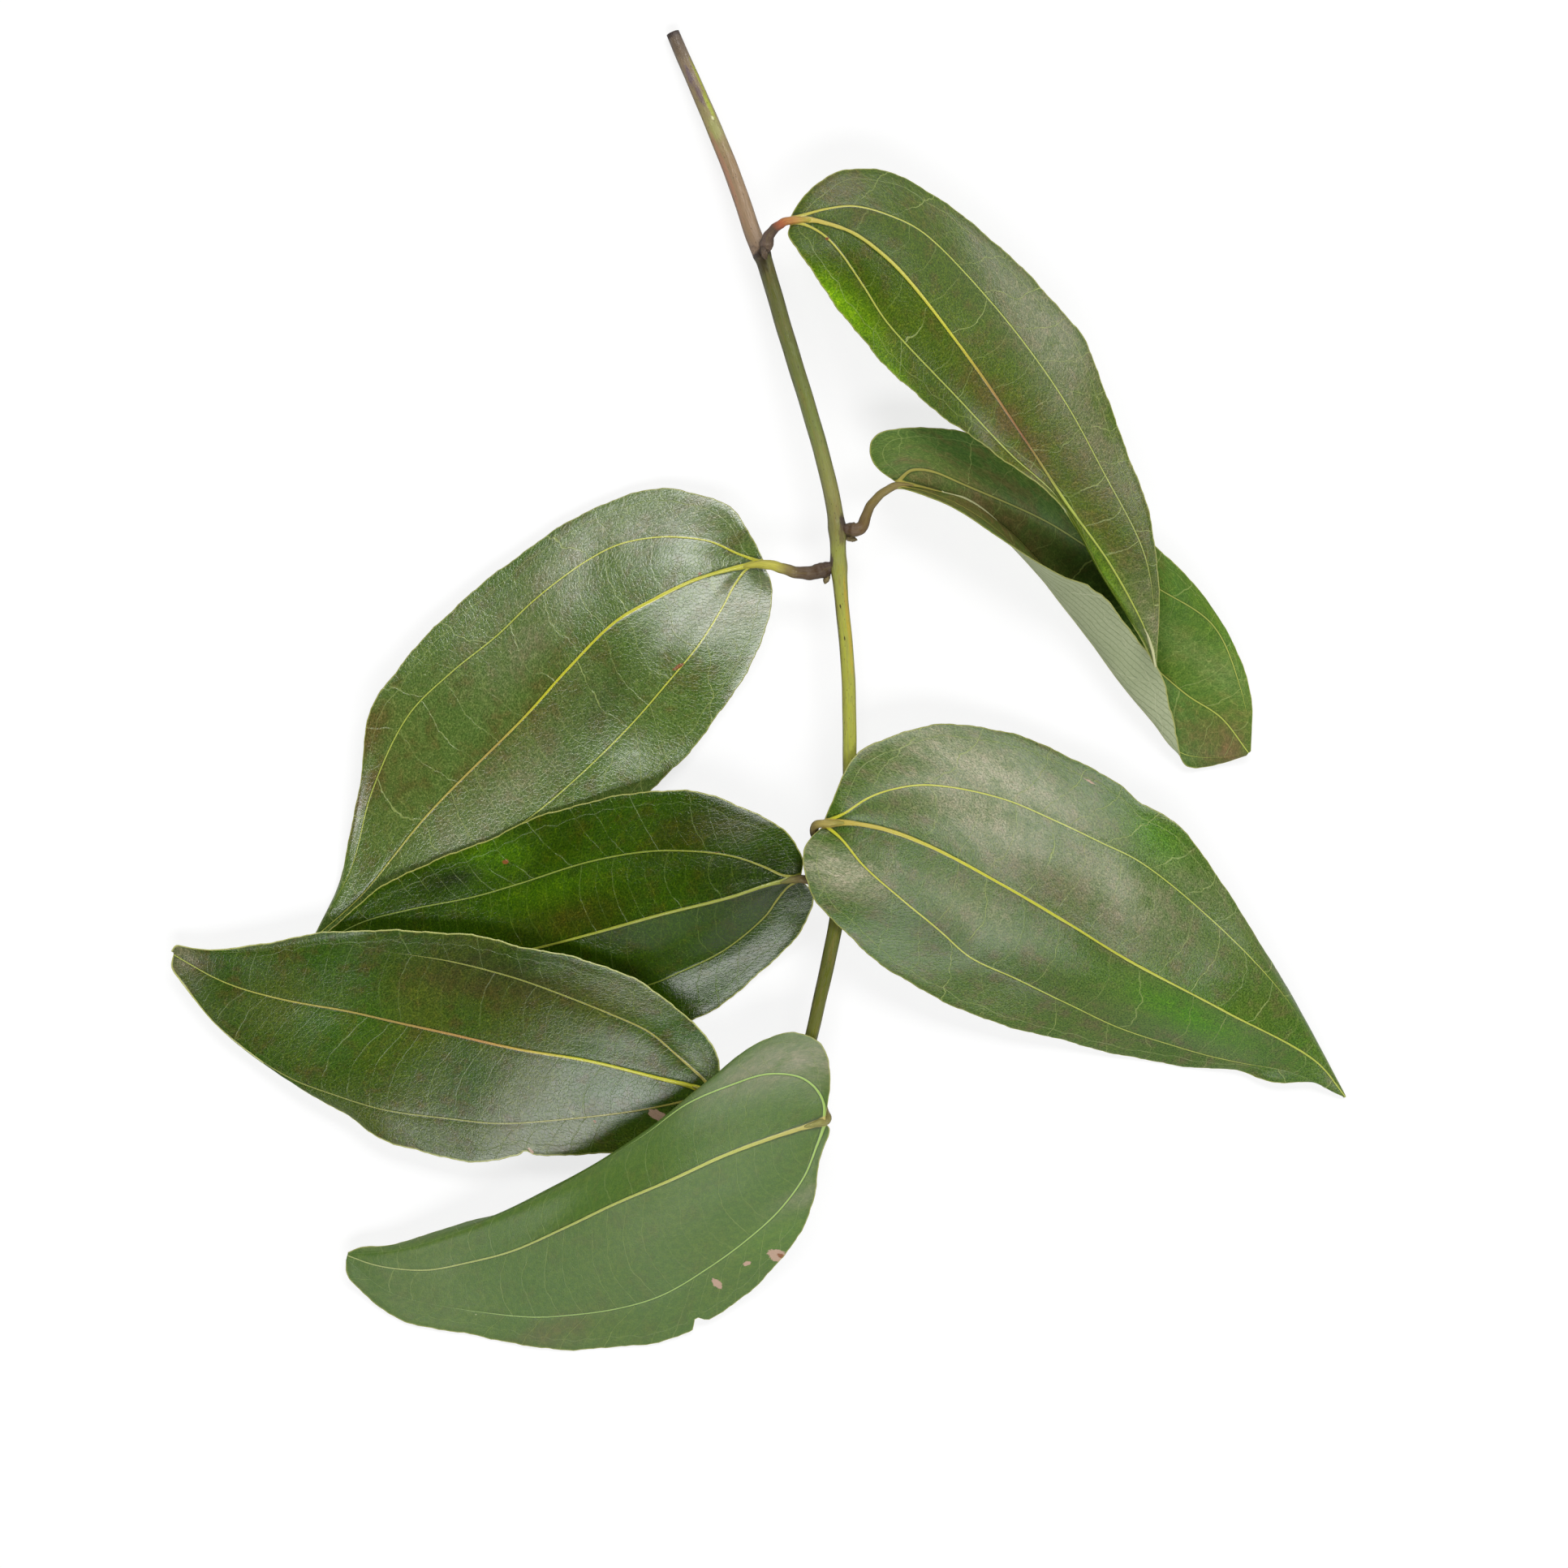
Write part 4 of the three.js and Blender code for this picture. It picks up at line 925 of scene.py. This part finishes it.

# Leaf 4 lies across the stem and slopes down to the table on the right. A greyish bloom, painted partly as
# sheen, dulls its middle, a painted highlight lies on the lobe by its base, and it is bright green in two
# places.
blade(
    4,
    left=[
        (14.6, -29.6, 16.7), (16, -26, 17.1), (18.5, -20, 16.9), (22, -14.5, 15.6), (30.5, -10, 12.4),
        (43, -7.5, 8.9), (57, -9.5, 6.8), (70, -14.5, 6.8), (83, -22, 8.4), (86.5, -25, 8.8),
        (93.5, -29, 9.2), (98.5, -34, 9.2), (103, -40, 8.7), (120, -67, 6.9), (134.4, -92.7, 0.6),
    ],
    left_vein=[
        (14.8, -29.8, 16.9), (19, -28, 18), (24.5, -24.5, 16.3), (30, -22.5, 14.7), (38, -21.5, 12.9),
        (55, -24.5, 11.4), (67, -29.5, 12.2), (77.5, -34.5, 12.3), (86.5, -39, 11.5),
        (100.5, -50, 9.8), (119, -69, 9.6), (134.4, -92.9, 0.7),
    ],
    midrib=[
        (14.8, -30.1, 17.1), (20.5, -30, 19.1), (28.5, -31.5, 19.6), (39, -35.5, 19.1),
        (55, -44, 17.9), (69.5, -52.5, 17.6), (82.5, -60.5, 18), (106, -73, 15.1), (127, -84.5, 5.2),
        (134.4, -93, 0.8),
    ],
    right_vein=[
        (14.8, -30.4, 16.9), (18.5, -33.5, 17.6), (23.5, -39.5, 16.7), (32.5, -47.5, 15.4),
        (41, -54.5, 13.8), (48, -60.5, 12.5), (58.5, -65.5, 10.9), (70, -71, 9.1), (81.5, -76.5, 6.6),
        (96.5, -81.5, 3.8), (110.5, -85, 3.2), (121.5, -87, 3.6), (134.2, -93, 0.7),
    ],
    right=[
        (14.6, -30.7, 16.7), (12, -33, 17), (10, -36, 16.9), (10, -40.5, 16.2), (12, -46.5, 15.3),
        (18.5, -54, 14.1), (28, -62.5, 11), (39.5, -69.5, 8.1), (51.5, -75, 5.7), (66, -79, 3.5),
        (83.5, -83.5, 0.9), (97.5, -86, 0.4), (110, -87, 1.3), (117.5, -89.5, 2.1), (127.5, -89.5, 2),
        (131, -90, 1.3), (134, -93.1, 0.6),
    ],
    look={
        **common_look, "green": (66, 98, 24), "green_2": (78, 104, 34),
        "lime_and_glow": (68, 124, 0), "sheen_and_bloom": (148, 154, 116), "brown": (96, 86, 56),
        "roughness": 0.3, "gloss": 0.42, "thin": 0.7, "net": 0.15, "mottle": 0.6, "grain": 1.25,
        "vein_ends": (0.85, 0.9),
        "midrib": [(0, (200, 176, 88)), (0.25, vein_yellow), (1, vein_pale)],
    },
    patches=[
        ("lime_and_glow", 0.54, -29, 8, 6, 0.9), ("lime_and_glow", 0.68, 6, 20, 6, 1.0), ("sheen_and_bloom", 0.25, -14, 18, 9, 0.7),
        ("sheen_and_bloom", 0.3, 8, 14, 5, 0.35), ("sheen_and_bloom", 0.5, -14, 16, 8, 0.45), ("sheen_and_bloom", 0.62, -24, 14, 6, 0.25),
        ("sheen_and_bloom", 0.085, 15, 8, 7, 1.0), ("sheen_and_bloom", 0.27, -25, 20, 7, 0.85), ("lime_and_glow", 0.9, 2, 12, 8, 0.3),
        ("dark", 0.3, 18, 34, 5, 0.3), ("brown", 0.4, -6, 22, 7, 0.5), ("brown", 0.17, -6, 3.0, 0.8, 0.7),
        ("scar", 0.43, -34, 2.4, 0.5, 0.7),
    ],
)

# Leaf 5 lies over leaf 3, with its tip under leaf 6. It has the deepest green.
blade(
    5,
    left=[
        (9.5, -43.2, 10.8), (11.5, -45, 9.7), (12.5, -47, 8.6), (11.5, -51, 6.6), (9, -55.5, 4.1),
        (-2, -66.5, 0.9), (-14, -75, 0.5), (-35.5, -82, 0.6), (-59, -83, 0.5), (-86.5, -76.5, 0.9),
        (-111.4, -66, 1.5),
    ],
    left_vein=[
        (9.3, -42.9, 11), (6.5, -44.5, 9.9), (4, -47.5, 8.3), (1.5, -51, 6.6), (-8, -59, 3.9),
        (-19, -64.5, 3.6), (-25, -67, 3.5), (-47.5, -71.5, 2.7), (-70, -72, 0.7), (-92.5, -69.5, 1.3),
        (-111.4, -65.8, 1.6),
    ],
    midrib=[
        (9.3, -42.6, 11.2), (2.5, -44, 13.2), (-7, -47, 15), (-23, -51, 14.2), (-39, -55.5, 10.9),
        (-52.5, -59, 7.4), (-73.5, -63, 3.7), (-94, -66, 3.8), (-111.6, -65.6, 1.7),
    ],
    right_vein=[
        (9.3, -42.3, 11), (5.5, -42, 12.3), (1, -40, 13.5), (-4.5, -38, 14.6), (-9.5, -37, 14.4),
        (-14.5, -36.5, 13.9), (-25, -36.5, 12.2), (-39, -39, 9.8), (-55, -44, 7.6), (-65.5, -47, 6.6),
        (-80.5, -50, 5.2), (-92.5, -53.5, 4.1), (-111.4, -65.5, 1.6),
    ],
    right=[
        (9.5, -42.1, 10.8), (10, -38.5, 11.3), (8.5, -35, 11.8), (6.5, -32.5, 12.2),
        (2.5, -29.5, 12.9), (-7, -25, 12.5), (-14, -23, 11.7), (-22, -22.5, 10.6), (-38, -25, 8.9),
        (-51.5, -29, 8.2), (-63.5, -34.5, 7.5), (-76.5, -39.5, 6.6), (-87, -45, 5.4),
        (-99.5, -55.5, 3.6), (-111.4, -65.3, 1.5),
    ],
    look={
        **common_look, "green": (38, 62, 0), "green_2": (44, 76, 0), "brown": (58, 58, 6),
        "dark": (30, 44, 10), "lime_and_glow": (66, 110, 0), "roughness": 0.23, "net": 0.5, "gloss": 0.6,
        "rim": (196, 196, 104), "thin_vein": (132, 156, 60), "rungs": 4.2, "thin": 0.3,
        "side_veins": [(0, (150, 146, 60)), (0.3, (136, 152, 56)), (1, (140, 160, 76))],
        "midrib": [(0, (150, 156, 60)), (0.5, (164, 172, 60)), (1, vein_pale)],
    },
    patches=[
        ("lime_and_glow", 0.57, 22, 9, 5, 0.9), ("lime_and_glow", 0.47, 12, 16, 6, 0.5), ("dark", 0.64, 19.5, 7, 3.2, 1.0),
        ("dark", 0.05, 2, 12, 10, 0.8), ("brown", 0.43, 5, 12, 4, 0.7), ("brown", 0.2, 18, 14, 5, 0.5),
        ("rust", 0.548, 21, 1.1, 0.6, 1.0), ("rust", 0.16, 11, 4.0, 0.4, 0.6),
    ],
)

# Leaf 6, one of the end pair, lies over leaf 5. Its midrib is orange-brown half way along, its tip is
# greyish, and it has a pink scar near its base and a torn place in its lower edge.
blade(
    6,
    left=[
        (-10.6, -92.2, 12), (-13.5, -98.5, 8.3), (-22.5, -103.5, 6.8), (-33.5, -105.5, 6.4),
        (-43.5, -106, 6.3), (-54, -106, 6.4), (-62, -107.5, 6.1), (-69.5, -107, 5.7),
        (-76.5, -105.5, 5.5), (-87, -102, 5), (-93.5, -97.5, 4.8), (-103, -92, 4.5),
        (-114, -84.5, 3.9), (-124.5, -76, 4.2), (-131.5, -67.5, 4.3), (-134.5, -63, 4.3),
        (-134.1, -60.5, 4.4),
    ],
    left_vein=[
        (-10.6, -91.8, 12.2), (-16, -93, 10.8), (-28, -95.5, 9.3), (-44, -97.5, 8.9),
        (-59, -98.5, 8.4), (-70.5, -97.5, 7.8), (-85.5, -95.5, 7.1), (-97.5, -92, 5.7),
        (-107, -88.5, 4.5), (-118, -81.5, 3.3), (-127.5, -72, 3.3), (-133.9, -60.3, 4.5),
    ],
    midrib=[
        (-10.6, -91.4, 12.4), (-16.5, -89.5, 11.9), (-23, -88, 11.8), (-39, -84, 12.7),
        (-54.5, -81.5, 12.6), (-70.5, -78, 11), (-82.5, -75.5, 9.2), (-94, -73, 7.9),
        (-108, -70.5, 6.8), (-118, -68, 5.7), (-124.5, -65.5, 4.5), (-133.9, -60.2, 4.6),
    ],
    right_vein=[
        (-10.4, -91.2, 12.2), (-12.5, -88.5, 12.5), (-18.5, -83, 12.8), (-25, -77.5, 13.5),
        (-33.5, -73.5, 14.1), (-46, -68.5, 14.5), (-51.5, -66.5, 14.1), (-58, -64.5, 13),
        (-70.5, -61.5, 10.6), (-83.5, -59.5, 8.9), (-95.5, -57.5, 8.7), (-117.5, -59.5, 7),
        (-133.9, -59.8, 4.5),
    ],
    right=[
        (-10.3, -90.9, 12), (-9, -88.5, 11.3), (-9, -84.5, 10.6), (-11, -80, 10.2), (-14.5, -76, 10.5),
        (-17.5, -73, 11), (-28, -65.5, 12.5), (-39.5, -61, 13.4), (-51.5, -58.5, 13.3),
        (-65, -55.5, 11.5), (-80.5, -54.5, 9.6), (-91.5, -54.5, 8.4), (-99.5, -55, 7.7),
        (-113.5, -57.5, 6.8), (-124, -59, 6.2), (-130, -58.5, 5.3), (-133.5, -58, 4.7),
        (-134.5, -59.4, 4.4),
    ],
    look={
        **common_look, "green": (64, 82, 12), "green_2": (44, 78, 6), "brown": (70, 64, 20),
        "dark": (32, 48, 12), "lime_and_glow": (66, 104, 10), "rim": (212, 214, 128),
        "thin_vein": (140, 158, 84), "thin": 0.28, "roughness": 0.3, "net": 0.5, "rungs": 4.6,
        "mottle": 0.7, "rim_width": 0.45, "vein_ends": (0.85, 0.62),
        "side_veins": [(0, (170, 160, 76)), (0.3, (150, 152, 72)), (1, (140, 152, 80))],
        "midrib": [
            (0, vein_yellow), (0.25, vein_yellow), (0.42, (190, 146, 84)),
            (0.6, (172, 150, 80)), (1, vein_pale),
        ],
    },
    patches=[
        ("brown", 0.4, 14, 20, 6, 0.7), ("dark", 0.45, 18, 22, 7, 0.6), ("lime_and_glow", 0.66, -4, 18, 8, 0.4),
        ("sheen_and_bloom", 0.98, 1, 3, 4, 0.6), ("brown", 0.96, 0, 5, 4, 0.8), ("scar", 0.1, -9.3, 1.9, 2.0, 1.0),
        ("scar", 0.322, -24.4, 0.6, 0.9, 0.9), ("rust", 0.201, -14.1, 0.45, 0.45, 1.0),
    ],
    bites=[("left", 0.33, 1.8, 0.9), ("left", 0.81, 1.5, 0.6)],
)

# Leaf 7, the other of the end pair, covers the stem's end and slopes down to the table. It is duller and
# greyer than the rest, with pinkish spots and a notch by its left edge, and a painted sheen lies near its
# base on the right.
blade(
    7,
    left=[
        (15.1, -98.1, 16.5), (16, -99.5, 15.6), (14, -105.5, 14.2), (12.5, -115.5, 10.7),
        (8.5, -125, 7), (3.5, -131.5, 4.5), (-3.5, -138.5, 2.6), (-13.5, -145.5, 1.3),
        (-24.5, -149.5, 0.5), (-34.5, -150.5, 0.3), (-45.5, -151, 0.4), (-54.5, -150, 0.6),
        (-66, -147.5, 0.6), (-76, -146, 0.5), (-83.5, -143.5, 0.7), (-91, -138, 1.5),
        (-94.5, -133.5, 2.9), (-94.6, -130.2, 4),
    ],
    left_vein=[
        (14.9, -97.8, 16.8), (13, -103, 15.2), (10, -110.5, 13.5), (4.5, -118, 12.2), (-2, -124, 10.9),
        (-10.5, -130.5, 9.6), (-22, -137.5, 7.8), (-33, -141, 6.3), (-43.5, -142.5, 5),
        (-53.5, -143, 4), (-70, -141, 3), (-84.5, -137.5, 2.8), (-94.4, -129.8, 4.2),
    ],
    midrib=[
        (14.7, -97.5, 17), (4.5, -100.5, 19.3), (-8, -105, 21.5), (-20, -110.5, 21.7),
        (-32.5, -116, 19), (-44.5, -122, 14.6), (-56.5, -127.5, 10.4), (-67.5, -130.5, 7.6),
        (-75, -132, 6.3), (-81.5, -132, 5.6), (-88, -131, 5.1), (-94.2, -129, 4.4),
    ],
    right_vein=[
        (14.8, -97.2, 17), (14.5, -93.5, 16.5), (13, -90.5, 16.1), (10, -88, 16), (6.5, -87, 16.2),
        (1, -87, 16.6), (-5.5, -89, 17.1), (-16, -93.5, 17.8), (-26.5, -101, 17.6),
        (-47, -113.5, 14.9), (-69.5, -123.5, 9.9), (-82.5, -127.5, 7.1), (-94.1, -128.7, 4.2),
    ],
    right=[
        (14.9, -97, 16.8), (15.5, -94, 15.9), (16, -89, 14.5), (15.5, -83, 13.9), (13, -79, 13.6),
        (7, -77.5, 13.7), (0.5, -79.5, 14.1), (-4.5, -82.5, 14.6), (-9.5, -87, 14.7),
        (-19, -95.5, 14.3), (-30, -104, 12.1), (-43.5, -111.5, 9.3), (-54, -117.5, 7.7),
        (-66.5, -121, 6.3), (-76, -124, 6), (-84, -126.5, 5.6), (-91, -127, 4.6), (-94.1, -128.3, 4),
    ],
    look={
        **common_look, "green": (74, 106, 22), "green_2": (68, 104, 20),
        "lime_and_glow": (84, 128, 20), "mottle": 0.2, "net": 0.1, "roughness": 0.5, "thin": 0.24,
        "crinkle": 0.3, "grain": 0.35, "rungs": 4.5, "vein_ends": (0.82, 0.45),
        "side_veins": [(0, (162, 196, 92)), (1, (148, 178, 98))],
        "midrib": [(0, (190, 176, 92)), (0.2, (190, 196, 90)), (1, (164, 178, 106))],
    },
    patches=[
        ("scar", 0.339, -30.6, 0.9, 2.4, 0.95), ("scar", 0.28, -29.3, 0.8, 0.9, 0.95),
        ("scar", 0.238, -31.6, 1.5, 3.2, 1.0), ("rust", 0.235, -32.4, 0.7, 1.8, 0.9),
        ("lime_and_glow", 0.22, -26, 8, 5, 0.5), ("sheen_and_bloom", 0.13, 21, 16, 7, 0.95), ("sheen_and_bloom", 0.11, -19, 8, 3, 0.5),
        ("sheen_and_bloom", 0.9, -4, 14, 10, 0.1), ("brown", 0.62, -24, 10, 4, 0.5),
    ],
    bites=[("left", 0.402, 2.3, 2.4)],
)
